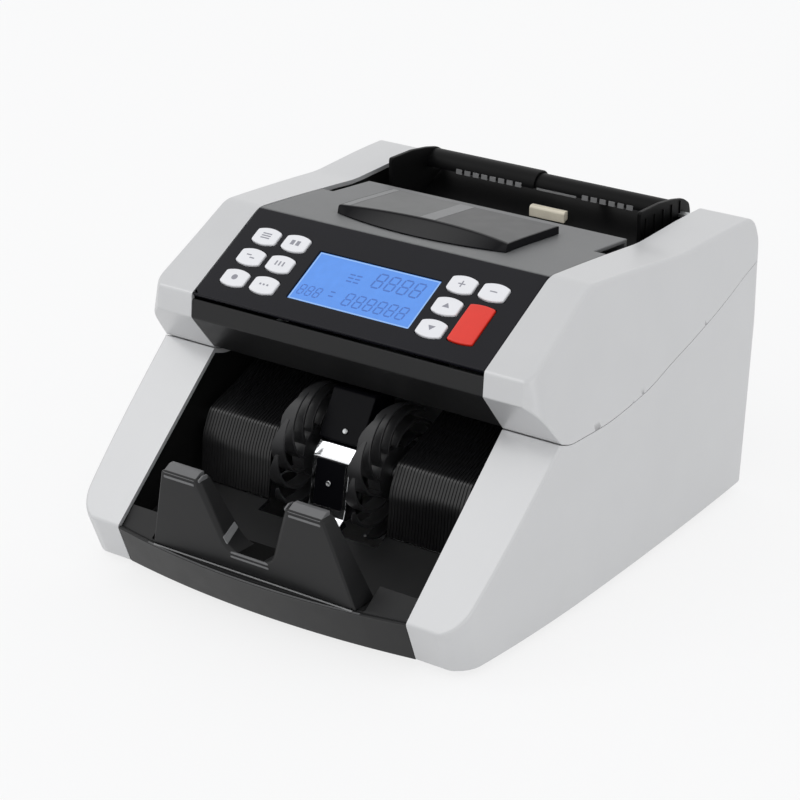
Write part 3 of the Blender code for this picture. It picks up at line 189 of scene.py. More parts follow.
def loop_points(corners, cuts, spacing, rims=None, counts=None, steps=5):
    """An outline's points, with its corners cut round and its edges divided, and each point's edge radius."""
    corners = [Vector(c) for c in corners]
    count = len(corners)
    cuts = cuts if isinstance(cuts, (list, tuple)) else [cuts] * count
    rims = rims if isinstance(rims, (list, tuple)) else [rims or 0] * count
    ahead = [corners[(i + 1) % count] for i in range(count)]
    trimmed = []
    for i, corner in enumerate(corners):
        room = 0.46 * min((corner - corners[i - 1]).length, (ahead[i] - corner).length)
        trimmed.append(min(cuts[i], room))
    if counts is None:
        counts = [max(1, round((ahead[i] - corners[i]).length / spacing)) for i in range(count)]
    points, radii = [], []
    for i, corner in enumerate(corners):
        before = corner + (corners[i - 1] - corner).normalized() * trimmed[i]
        after = corner + (ahead[i] - corner).normalized() * trimmed[i]
        turns = steps if trimmed[i] > 0 else 0
        for k in range(turns + 1):
            t = k / turns if turns else 1
            points.append((1 - t) ** 2 * before + 2 * t * (1 - t) * corner + t * t * after)
            radii.append(rims[i - 1] * (1 - t) + rims[i] * t)
        j = (i + 1) % count
        end = ahead[i] + (corner - ahead[i]).normalized() * trimmed[j]
        for k in range(1, counts[i]):
            points.append(after.lerp(end, k / counts[i]))
            radii.append(rims[i])
    return points, radii, counts


def signed_area(points):
    return sum(a[0] * b[1] - b[0] * a[1] for a, b in zip(points, points[1:] + points[:1])) / 2


def inward_normals(points, hole=False):
    turn = 1 if signed_area(points) > 0 else -1
    turn = -turn if hole else turn
    normals = []
    for i, point in enumerate(points):
        along = (points[(i + 1) % len(points)] - points[i - 1]).normalized()
        normals.append(Vector((-along.y * turn, along.x * turn)))
    return normals


def inset(points, distance):
    """A corner outline moved inwards, with mitred corners."""
    points = [Vector(p) for p in points]
    turn = 1 if signed_area(points) > 0 else -1
    moved = []
    for i, point in enumerate(points):
        a = (point - points[i - 1]).normalized()
        b = (points[(i + 1) % len(points)] - point).normalized()
        na, nb = Vector((-a.y, a.x)) * turn, Vector((-b.y, b.x)) * turn
        moved.append(point + (na + nb) * distance / (1 + na.dot(nb)))
    return moved


def inside(points, loop):
    """Which of the points lie inside a closed loop, as an array."""
    points, loop = np.array(points, float), np.array(loop, float)
    after = np.roll(loop, -1, axis=0)
    held = np.zeros(len(points), bool)
    for (x0, y0), (x1, y1) in zip(loop, after):
        if y0 != y1:
            crosses = (y0 > points[:, 1]) != (y1 > points[:, 1])
            reach = x0 + (points[:, 1] - y0) * (x1 - x0) / (y1 - y0)
            held ^= crosses & (points[:, 0] < reach)
    return held


def far_from(points, loops, gap):
    """The points that are at least the gap away from every loop."""
    starts = np.concatenate([np.array(loop, float) for loop in loops])
    ends = np.concatenate([np.roll(np.array(loop, float), -1, axis=0) for loop in loops])
    along = ends - starts
    kept = []
    for p in np.array(points, float):
        share = np.clip(((p - starts) * along).sum(axis=1) / np.maximum((along ** 2).sum(axis=1), 1e-9), 0, 1)
        if np.min(np.hypot(*(starts + along * share[:, None] - p).T)) >= gap:
            kept.append(tuple(p))
    return kept


def cap_triangles(loops, extra=()):
    """Triangles over the first loop less the others, through the extra points."""
    flat, edges = [], []
    for loop in loops:
        start = len(flat)
        flat += [Vector(p) for p in loop]
        edges += [(start + i, start + (i + 1) % len(loop)) for i in range(len(loop))]
    flat += [Vector(p) for p in extra]
    points, _, faces, _, _, _ = geometry.delaunay_2d_cdt(flat, edges, [], 0, 1e-7)
    middles = [sum((points[i] for i in face), Vector((0, 0))) / 3 for face in faces]
    kept = inside(middles, loops[0])
    for hole in loops[1:]:
        kept &= ~inside(middles, hole)
    return points, [face for face, keep in zip(faces, kept) if keep]


def level_of(level):
    return level if callable(level) else lambda u, v: level


def ring(bm, where, points, level):
    return [bm.verts.new(where @ Vector((p[0], p[1], level(p[0], p[1])))) for p in points]


def bridge(bm, a, b):
    for i in range(len(a)):
        j = (i + 1) % len(a)
        bm.faces.new((a[i], a[j], b[j], b[i]))


def rounded_wall(bm, where, loop, radii, low, high, hole=False, soft_low=True, steps=4):
    """A loop's wall between two levels, with rounded edges. Gives its end loops as flat points."""
    normals = inward_normals(loop, hole)
    rows = []
    bends = [k / steps * math.pi / 2 for k in range(steps + 1)]
    if soft_low:
        for bend in reversed(bends):
            moved = [p + n * r * (1 - math.cos(bend)) for p, n, r in zip(loop, normals, radii)]
            rows.append((moved, [low(*p) + r * (1 - math.sin(bend)) for p, r in zip(moved, radii)]))
    else:
        rows.append((loop, [low(*p) for p in loop]))
    for bend in bends:
        moved = [p + n * r * (1 - math.cos(bend)) for p, n, r in zip(loop, normals, radii)]
        rows.append((moved, [high(*p) - r * (1 - math.sin(bend)) for p, r in zip(moved, radii)]))
    rings = []
    for points, levels in rows:
        rings.append([bm.verts.new(where @ Vector((p[0], p[1], h))) for p, h in zip(points, levels)])
    for a, b in zip(rings, rings[1:]):
        bridge(bm, a, b)
    return rows[0][0], rows[-1][0]


def cap(bm, where, loops, level, extra=()):
    points, faces = cap_triangles(loops, extra)
    made = {}
    for face in faces:
        corners = []
        for i in face:
            if i not in made:
                p = points[i]
                made[i] = bm.verts.new(where @ Vector((p[0], p[1], level(p[0], p[1]))))
            corners.append(made[i])
        bm.faces.new(corners)


def close_up(bm, name):
    bmesh.ops.remove_doubles(bm, verts=bm.verts, dist=2e-6)
    bmesh.ops.dissolve_degenerate(bm, edges=bm.edges, dist=1e-6)
    bmesh.ops.recalc_face_normals(bm, faces=bm.faces)
    mesh = bpy.data.meshes.new(name)
    bm.to_mesh(mesh)
    bm.free()
    return mesh


def add_slab(bm, loops, where, low, high, soft=0.4, cuts=0.0, spacing=1000, extra=(), steps=3):
    """A closed solid over an outline with holes, between two levels, with its edges rounded."""
    low, high = level_of(low), level_of(high)
    lows, highs = [], []
    for i, corners in enumerate(loops):
        points, radii, _ = loop_points(corners, cuts, spacing, soft)
        a, b = rounded_wall(bm, where, points, radii, low, high, hole=i > 0, steps=steps)
        lows.append(a)
        highs.append(b)
    cap(bm, where, lows, low, extra)
    cap(bm, where, highs, high, extra)


def slab(name, loops, where, low, high, soft=0.4, **options):
    bm = bmesh.new()
    add_slab(bm, loops, where, low, high, soft, **options)
    return close_up(bm, name)


def loft(name, sections, closed_ends=True):
    """A closed solid through sections of equally many points, in metres."""
    bm = bmesh.new()
    rings = [[bm.verts.new(p) for p in section] for section in sections]
    for a, b in zip(rings, rings[1:]):
        bridge(bm, a, b)
    if closed_ends:
        bm.faces.new(rings[0])
        bm.faces.new(rings[-1])
    return close_up(bm, name)


def turned(name, profile, place, axis, steps=48):
    """A turned piece: (radius, length along its axis) pairs, from one end to the other."""
    turn = Vector((0, 0, 1)).rotation_difference(Vector(axis)).to_matrix().to_4x4()
    where = CASE @ Matrix.Translation(place) @ turn
    sections = []
    for i in range(steps):
        angle = 2 * math.pi * i / steps
        sections.append([where @ Vector((r * math.cos(angle), r * math.sin(angle), h)) for r, h in profile])
    bm = bmesh.new()
    rings = [[bm.verts.new(p) for p in section] for section in sections]
    for a, b in zip(rings, rings[1:] + rings[:1]):
        for i in range(len(profile) - 1):
            bm.faces.new((a[i], a[i + 1], b[i + 1], b[i]))
    return close_up(bm, name)


def strip(points, thickness):
    """A bent sheet's outline: the points are one face, and the sheet lies on their right."""
    points = [Vector(p) for p in points]
    other = []
    for i, point in enumerate(points):
        normals = []
        for a, b in ((points[max(i - 1, 0)], point), (point, points[min(i + 1, len(points) - 1)])):
            if (b - a).length > 0:
                along = (b - a).normalized()
                normals.append(Vector((along.y, -along.x)))
        na, nb = normals[0], normals[-1]
        other.append(point + (na + nb) * thickness / (1 + na.dot(nb)))
    return points + other[::-1]


def rectangle(centre, width, height):
    u, v = centre
    return [(u - width / 2, v - height / 2), (u + width / 2, v - height / 2),
            (u + width / 2, v + height / 2), (u - width / 2, v + height / 2)]


def circle(centre, radius, steps=32):
    return [(centre[0] + radius * math.cos(2 * math.pi * i / steps),
             centre[1] + radius * math.sin(2 * math.pi * i / steps)) for i in range(steps)]


def arc(centre, radius, start, end, steps):
    """Points on an arc, with its angles in degrees."""
    angles = [math.radians(start + (end - start) * i / steps) for i in range(steps + 1)]
    return [(centre[0] + radius * math.cos(a), centre[1] + radius * math.sin(a)) for a in angles]


# Side covers

DEPTH = 290.0
HEIGHT = 172.5
WAIST = (76.79, 101.50)
LOWER_FRONT = (-9.396, 24.702)
FASCIA_LOW = (57.594, 125.494)
PANEL_TOP = (118.9, 172.5)
TOP_LINE = [(155.005, 169.792), (192.995, 166.307), (207.988, 164.807), (252.996, 166.204),
            (277.994, 165.997)]
REAR_LINE = [(283.011, 162.392), (287.39, 153.87), (290.0, 144.003)]
REAR_LOW = (287.013, 0.0)
SEAM = [(86.014, 97.997), (122.003, 96.997), (140.012, 98.601), (167.997, 102.396), (188.993, 108.192),
        (215.499, 114.195), (248.008, 123.407), (275.993, 134.705), (289.71, 139.104)]


def side_half(back, height):
    """Half the covers' width: it bulges at the waist's height and draws in at the top and the front."""
    share = back / DEPTH - 0.36
    front, rear = max(-share, 0) / 0.36, max(share, 0) / 0.64
    bottom = 130.6 - 5.5 * front ** 2 - 5.0 * rear ** 2
    belt = 132.0 - 3.0 * rear ** 2
    top = 129.0 - 11.1 * (1 - back / DEPTH) / (1 - 0.2024)
    if height <= WAIST[1]:
        return bottom + (belt - bottom) * height / WAIST[1]
    return belt + (top - belt) * (height - WAIST[1]) / (HEIGHT - WAIST[1])


def corner_drop(distance, radius):
    if distance >= radius:
        return 0.0
    return radius - math.sqrt(max(radius ** 2 - (radius - max(distance, 0)) ** 2, 0))


def lower_face(y, z):
    front = LOWER_FRONT[0] * min(max(z, 0) / LOWER_FRONT[1], 1)
    return side_half(y, z) - corner_drop(y - front, 14.0) - corner_drop(REAR_LOW[0] + 3 - y, 4.0)


def upper_face(y, z):
    return side_half(y, z) - corner_drop(y - FASCIA_LOW[0] + 0.3, 10.0) - corner_drop(DEPTH - y, 4.0)


def cover(name, corners, cuts, rims, face, bend_radius, front_of, stands_for, sign):
    """A moulded side cover: an outer skin with rounded edges, a rim against the frame and an inner skin."""
    wall, inner_level = SHEET, 96.1
    where = SIDE @ Matrix.Diagonal((1, 1, sign, 1))
    bm = bmesh.new()
    loop, radii, counts = loop_points(corners, cuts, 2.6, rims, steps=6)
    base = level_of(inner_level)
    bends = [bend_radius * (1 - math.cos(math.radians(a))) for a in (7, 14, 21, 29, 38, 48, 60, 74, 90)]
    extra = []
    for z in np.arange(2.5, HEIGHT, 4.0):
        extra += [(front_of(z) + d, z) for d in bends]
        extra += [(y, z) for y in np.arange(front_of(z) + bend_radius + 4, DEPTH, 6.0)]
        extra += [(DEPTH - d, z) for d in (0.9, 2.2, 4.0)]
    edge_low, edge_high = rounded_wall(bm, where, loop, radii, base, face, soft_low=False)
    held = inside(extra, edge_high)
    extra = far_from([p for p, keep in zip(extra, held) if keep], [edge_high], 1.1)
    cap(bm, where, [edge_high], face, extra)
    inner_loop, _, _ = loop_points(inset(corners, wall), cuts, 2.6, 0, counts=counts, steps=6)
    bridge(bm, ring(bm, where, edge_low, base), ring(bm, where, inner_loop, base))

    def inner_face(y, z):
        return face(y, z) - wall

    bridge(bm, ring(bm, where, inner_loop, base), ring(bm, where, inner_loop, inner_face))
    cap(bm, where, [inner_loop], inner_face, far_from([p for p, keep in zip(extra, inside(extra, inner_loop))
                                                      if keep][::2], [inner_loop], 1.5))
    return piece(name, close_up(bm, name), "silver", stands_for=stands_for, crease=32)


def make_covers():
    gap = 0.3
    seam_low = [(y, z - gap) for y, z in SEAM]
    lower = [(0, 0), LOWER_FRONT, (WAIST[0] - 0.45, WAIST[1] - 0.45), *seam_low, REAR_LOW]
    lower_cuts = [2.0, 1.6, 0.5] + [20] * (len(seam_low) - 1) + [0.8, 2.5]
    lower_rims = [0.2, 1.3, 0.3] + [0.3] * (len(seam_low) - 1) + [1.2, 0.8]
    upper = [WAIST, FASCIA_LOW, PANEL_FRONT, PANEL_TOP, *TOP_LINE, *REAR_LINE, *reversed(SEAM)]
    upper_cuts = [0.5, 0.8, 1.4, 5.0] + [25] * len(TOP_LINE) + [9] * len(REAR_LINE)
    upper_cuts += [0.8] + [20] * (len(SEAM) - 1)
    upper_rims = [1.0, 0.3] + [1.8] * (len(TOP_LINE) + len(REAR_LINE) + 1) + [0.6] + [0.3] * len(SEAM)
    for hand, sign in (("left", -1), ("right", 1)):
        cover(f"lower_side_{hand}", lower, lower_cuts, lower_rims, lower_face, 14.0,
              lambda z: LOWER_FRONT[0] * min(z / LOWER_FRONT[1], 1), [f"lower_cover_{hand}"], sign)
        cover(f"upper_side_{hand}", upper, upper_cuts, upper_rims, upper_face, 10.0,
              lambda z: FASCIA_LOW[0] - 0.3, [f"upper_cover_{hand}"], sign)


# Controls

KEYS = {
    "count_key": (-77.3, 49.3), "batch_key": (-57.0, 49.3), "add_key": (-77.3, 33.2),
    "mode_key": (-57.0, 33.2), "clear_key": (-77.3, 17.0), "menu_key": (-57.0, 17.0),
    "plus_key": (53.0, 49.3), "minus_key": (73.0, 49.3), "up_key": (53.0, 33.4),
    "down_key": (53.0, 17.2), "start_key": (72.65, 26.07),
}
KEY_SIZE = (16.2, 12.2, 8.4)
START_SIZE = (15.8, 27.0, 25.1)
DISPLAY = (0.0, 31.49)
DISPLAY_SIZE = (80.0, 35.2)


def key_corners(size, steps=8):
    width, height, end = size
    bow = (height - end) / 2
    radius = ((width / 2) ** 2 + bow ** 2) / (2 * bow)
    half = math.degrees(math.asin(width / 2 / radius))
    top = arc((0, height / 2 - radius), radius, 90 - half, 90 + half, steps)
    return top + [(-u, -v) for u, v in top]


def key_cap(name, place, size, look, proud=1.2, skirt=-2.8):
    """A key with a soft shoulder and a slightly crowned top."""
    corners = key_corners(size)
    cuts = [1.5 if abs(abs(u) - size[0] / 2) < 0.01 else 0.6 for u, _ in corners]
    loop, radii, _ = loop_points(corners, cuts, 1.4, 0.7)
    where = PANEL @ Matrix.Translation((*place, 0))

    def crown(u, v):
        return proud - 0.35 * ((2 * u / size[0]) ** 2 + (2 * v / size[1]) ** 2) / 2

    bm = bmesh.new()
    across, along = (np.arange(-size[i] / 2, size[i] / 2, 1.5) for i in (0, 1))
    grid = [(u, v) for u in across for v in along]
    low, high = rounded_wall(bm, where, loop, radii, level_of(skirt), crown, soft_low=False)
    grid = far_from([p for p, keep in zip(grid, inside(grid, high)) if keep], [high], 0.7)
    cap(bm, where, [low], level_of(skirt))
    cap(bm, where, [high], crown, grid)
    piece(name + "_cap", close_up(bm, name), look, body=name, stands_for=[name], crease=50)
    return where


def make_keys():
    for name, place in KEYS.items():
        start = name == "start_key"
        where = key_cap(name, place, START_SIZE if start else KEY_SIZE, "red" if start else "key")
        marks = KEY_MARKS.get(name)
        if marks:
            bm = bmesh.new()
            for shape in marks:
                add_slab(bm, [shape], where, 0.95, 1.23, soft=0.02, steps=1)
            piece(name + "_mark", close_up(bm, name + "_mark"), "mark", body=name)


def bar(u, v, width, height):
    return rectangle((u, v), width, height)


KEY_MARKS = {
    "count_key": [bar(0, 1.6, 6, 0.8), bar(0, 0, 6, 0.8), bar(0, -1.6, 6, 0.8)],
    "batch_key": [bar(-1.8, 0, 2.4, 3.4), bar(1.8, 0, 2.4, 3.4)],
    "add_key": [bar(-1.5, 0.9, 3.2, 0.8), bar(1.5, -0.9, 3.2, 0.8)],
    "mode_key": [bar(-2.4, 0, 1, 3.2), bar(0, 0, 1, 3.2), bar(2.4, 0, 1, 3.2)],
    "clear_key": [circle((0, 0), 1.9, 20)],
    "menu_key": [bar(-2.4, 0, 1.2, 1.2), bar(0, 0, 1.2, 1.2), bar(2.4, 0, 1.2, 1.2)],
    "plus_key": [[(-2.2, -0.4), (-0.4, -0.4), (-0.4, -2.2), (0.4, -2.2), (0.4, -0.4), (2.2, -0.4), (2.2, 0.4),
                  (0.4, 0.4), (0.4, 2.2), (-0.4, 2.2), (-0.4, 0.4), (-2.2, 0.4)]],
    "minus_key": [bar(0, 0, 4.4, 0.8)],
    "up_key": [[(-2.3, -1.4), (2.3, -1.4), (0, 1.8)]],
    "down_key": [[(-2.3, 1.4), (0, -1.8), (2.3, 1.4)]],
}


def segment_bars(u, v, width, height, thick):
    """The seven bars of one numeral, slanted a little, round its middle."""
    w, h, t = width / 2, height / 2, thick / 2
    gap = thick * 0.2
    bars = []
    for row in (h, 0, -h):
        bars.append([(-w + gap, row), (-w + gap + t, row + t), (w - gap - t, row + t), (w - gap, row),
                     (w - gap - t, row - t), (-w + gap + t, row - t)])
    for side in (-w, w):
        for low, high in ((-h, 0), (0, h)):
            a, b = low + gap, high - gap
            bars.append([(side, a), (side + t, a + t), (side + t, b - t), (side, b), (side - t, b - t),
                         (side - t, a + t)])
    slant = 0.12
    return [[(u + p + slant * q, v + q) for p, q in shape] for shape in bars]


def make_display():
    u, v = DISPLAY
    w, h = DISPLAY_SIZE
    back, face = -2.5, -0.9
    piece("display_glass", slab("display_glass", [rectangle(DISPLAY, w, h)], PANEL, back, face, soft=0.1),
          "display", stands_for=["display_window"])
    border = [rectangle(DISPLAY, w - 0.6, h - 0.6), rectangle(DISPLAY, w - 2.2, h - 2.2)]
    frame_mesh = slab("display_border", border, PANEL, face - 0.1, face + 0.05, soft=0.02)
    piece("display_border", frame_mesh, "border")
    shapes = []
    for i in range(4):
        shapes += segment_bars(u + 5.5 + i * 8.2, v + 8.0, 5.2, 10.0, 1.0)
    for i in range(3):
        shapes += segment_bars(u - 35 + i * 5.2, v - 9.6, 3.2, 6.6, 0.75)
    for i in range(6):
        shapes += segment_bars(u - 4.5 + i * 7.0, v - 8.8, 4.4, 8.4, 0.9)
    shapes += [bar(u - 16, v - 6.5, 3.0, 0.9), bar(u - 16, v - 9.5, 3.0, 0.9)]
    shapes += [bar(u - 12 + 4.5 * (i % 2), v + 3 + 2.4 * (i // 2), 3.4, 0.9) for i in range(6)]
    bm = bmesh.new()
    for shape in shapes:
        add_slab(bm, [shape], PANEL, face - 0.05, face + 0.04, soft=0.01, steps=1)
    piece("display_segments", close_up(bm, "display_segments"), "segment")


def make_panel():
    outer = rectangle((0, PANEL_LENGTH / 2), 2 * MOUTH, PANEL_LENGTH - 0.6)
    holes = [rectangle(DISPLAY, DISPLAY_SIZE[0] + 0.5, DISPLAY_SIZE[1] + 0.5)]
    for name, (u, v) in KEYS.items():
        corners = key_corners(START_SIZE if name == "start_key" else KEY_SIZE)
        holes.append([(u + p[0], v + p[1]) for p in inset(corners, -0.4)])
    bm = bmesh.new()
    lows, highs = [], []
    for i, corners in enumerate([outer] + holes):
        points, radii, _ = loop_points(corners, 0.9 if i else 0.2, 6, 0.35 if i else 0.7)
        a, b = rounded_wall(bm, PANEL, points, radii, level_of(-SHEET), level_of(0), hole=i > 0, steps=3)
        lows.append(a)
        highs.append(b)
    cap(bm, PANEL, lows, level_of(-SHEET))
    cap(bm, PANEL, highs, level_of(0))
    piece("control_bezel", close_up(bm, "control_bezel"), "gloss", stands_for=["control_panel"])


def make_fascia():
    line = [(WAIST[0] - 0.3, WAIST[1] + 0.6), (FASCIA_LOW[0], FASCIA_LOW[1]),
            (PANEL_FRONT[0] + 0.3, PANEL_FRONT[1] - 3.1)]
    piece("fascia_strip", slab("fascia_strip", [strip(line, 2.0)], SIDE, -MOUTH, MOUTH, soft=0.2, cuts=0.9,
                               spacing=20), "dark", stands_for=["fascia"])


# Top


def cover_height(y):
    line = [(PANEL_TOP[0] + 0.3, PANEL_TOP[1] - 0.3)] + TOP_LINE[:2] + [(211.0, TOP_LINE[2][1])]
    return float(np.interp(y, [p[0] for p in line], [p[1] for p in line]))


def make_top_cover():
    """The sheet behind the panel, with notched rear corners and a turned-down lip."""
    front, rear, notch = 119.4, 211.0, 8.1
    edge = MOUTH
    notched = rear - 35
    corners = [(-edge, front), (edge, front), (edge, notched), (edge - notch, notched), (edge - notch, rear),
               (-edge + notch, rear), (-edge + notch, notched), (-edge, notched)]
    extra = [(x, y) for x in np.arange(-90, 91, 15) for y in (130, 142, 155, 168, 180, 193, 202)]

    def top(x, y):
        return cover_height(y)

    def under(x, y):
        return cover_height(y) - SHEET

    sheet = slab("top_sheet", [corners], PLAN, under, top, soft=0.7, cuts=0.6, spacing=12, extra=extra)
    piece("top_sheet", sheet, "grey", stands_for=["top_cover"])
    lip = [(rear - SHEET, 163.0), (rear - 0.1, 163.0), (rear - 0.1, 140.1), (rear - SHEET, 140.1)]
    piece("top_lip", slab("top_lip", [lip], SIDE, -edge + notch, edge - notch, soft=0.5), "grey")
    bead = [(rear - 8.2, 165.2), (rear - 6.6, 165.2), (rear - 6.6, 164.6), (rear - 8.2, 164.6)]
    piece("top_bead", slab("top_bead", [bead], SIDE, -edge + notch + 2, edge - notch - 2, soft=0.25), "grey")


LID_HALF = 56.0
LID_RISE = 4.8
LID_REAR = 191.0


def lid_edge(x, front, bow):
    return front - bow * (1 - (x / LID_HALF) ** 2)


def lid_height(x, y):
    return cover_height(y) + LID_RISE


def make_lid():
    """A black plate whose front slopes down to a bowed foot, faced with grey panels and lighter bands."""
    steps = 24
    sections = []
    for i in range(-1, steps + 2):
        end = i in (-1, steps + 1)
        x = LID_HALF * (2 * min(max(i, 0), steps) / steps - 1)
        draw, drop = (0.4, 0.45) if end else (0.0, 0.0)
        foot = lid_edge(x, 138.2, 8.8) + draw
        crest = lid_edge(x, 140.2, -9.6) + draw
        rear = LID_REAR - draw
        line = [(foot, cover_height(foot) + 0.3), (foot + 0.1, cover_height(foot) + 0.9),
                (crest - 1.0, lid_height(x, crest) - 0.6 - drop),
                (crest - 0.4, lid_height(x, crest) - 0.18 - drop), (crest + 0.3, lid_height(x, crest) - drop)]
        line += [(y, lid_height(x, y) - drop) for y in (156, 168, 181, rear - 0.6)]
        line += [(rear - 0.15, lid_height(x, rear) - 0.2 - drop), (rear, lid_height(x, rear) - 0.7 - drop),
                 (rear, cover_height(rear) + 0.3)]
        line += [(y, cover_height(y) + 0.3) for y in (181, 168, 156)]
        side = x + (math.copysign(0.01, x) if end else 0)
        sections.append([CASE @ Vector((side, y, z)) for y, z in line])
    piece("lid_plate", loft("lid_plate", sections), "jet", stands_for=["raised_lid"], crease=50)

    def facing(name, look, left, right, top):
        across = [left + (right - left) * k / 10 for k in range(11)]
        rows = (156, 168, 181, LID_REAR - 1.0)
        corners = [(x, lid_edge(x, 141.4, -9.6)) for x in across]
        corners += [(right, y) for y in rows] + [(left, y) for y in reversed(rows)]
        extra = [(left + (right - left) * s, y) for s in (0.25, 0.5, 0.75) for y in rows[:3]]
        piece(name, slab(name, [corners], PLAN, lambda x, y: lid_height(x, y) - 0.3,
                         lambda x, y: lid_height(x, y) + top, soft=0.04, extra=extra), look)

    facing("lid_panel_left", "panel", -50.6, -9.1, 0.10)
    facing("lid_panel_right", "lid_dark", 1.1, LID_HALF - 0.8, 0.10)
    facing("lid_band_left", "band", -LID_HALF + 0.8, -50.8, 0.16)
    facing("lid_band_middle", "band", -8.9, 0.9, 0.16)


# Front base and stacker


def base_line(x):
    share = 1 - (x / 96.1) ** 2
    return -8.3 * share, LOWER_FRONT[0] - 10.8 * share


def make_front_base():
    """The bowed front: a wall with a raised rim along its top, a shelf and two sloping wings. Pale strips along
    the rim's edge and the bracket's foot paint highlights.
    """
    shelf = LOWER_FRONT[1]
    recess, rear = 70.5, 3.1
    ends = [-MOUTH, MOUTH, -83, 83, -71.2, 71.2, -MOUTH + 0.5, MOUTH - 0.5]
    xs = sorted(set([round(x, 3) for x in np.linspace(-recess, recess, 41)] + ends))
    sections = []
    for x in xs:
        foot, edge = base_line(x)
        rise = 8.8 if abs(x) > recess + 0.1 else 0.0
        lean = (edge - foot) / shelf
        end = 0.35 if abs(x) == MOUTH else 0.0
        line = [(foot + 1.0, end), (foot + 0.3 + end, 0.25 + end), (foot + lean * 0.9 + end, 0.9 + end),
                (edge - lean * 1.6 + end, shelf - 1.7), (edge + 0.1 + end, shelf - 0.75),
                (edge + 0.6 + end, shelf - 0.15), (edge + 1.2, shelf - end), (edge + 2.3, shelf - end),
                (edge + 2.6, shelf - 0.75), (edge + 3.4, shelf - 0.75), (edge + 3.7, shelf - 0.1 - end),
                (edge + 4.6, shelf + 0.06 * rise - end), (rear, shelf + rise - end), (rear, shelf + rise - 3.0),
                (edge + 6, shelf - 3.4), (edge + 4.0, shelf - 5.0), (foot + 4.5, end)]
        sections.append([CASE @ Vector((x, y, z)) for y, z in line])
    piece("base_front", loft("base_front", sections), "dark", stands_for=["front_base"], crease=40)
    # A pale strip along the wall's top edge paints the highlight on the rounded edge.
    edge_highlight_sections = []
    for x in np.linspace(-recess, recess, 41):
        edge = base_line(x)[1]
        line = [(edge + 0.25, shelf - 0.75), (edge + 0.45, shelf - 0.3), (edge + 0.85, shelf - 0.02),
                (edge + 1.2, shelf + 0.05), (edge + 1.2, shelf - 0.6), (edge + 0.6, shelf - 0.9)]
        edge_highlight_sections.append([CASE @ Vector((x, y, z)) for y, z in line])
    piece("base_edge_highlight", loft("base_edge_highlight", edge_highlight_sections), "cap", crease=50)
    # A pale bead along the bracket's foot paints a second highlight line.
    foot_highlight_line = rectangle((0, -14.0), 132.0, 1.0)
    bead = slab("bracket_foot_highlight", [foot_highlight_line], PLAN, shelf - 0.3, shelf + 0.5, soft=0.3)
    piece("bracket_foot_highlight", bead, "painted_highlight_dash")


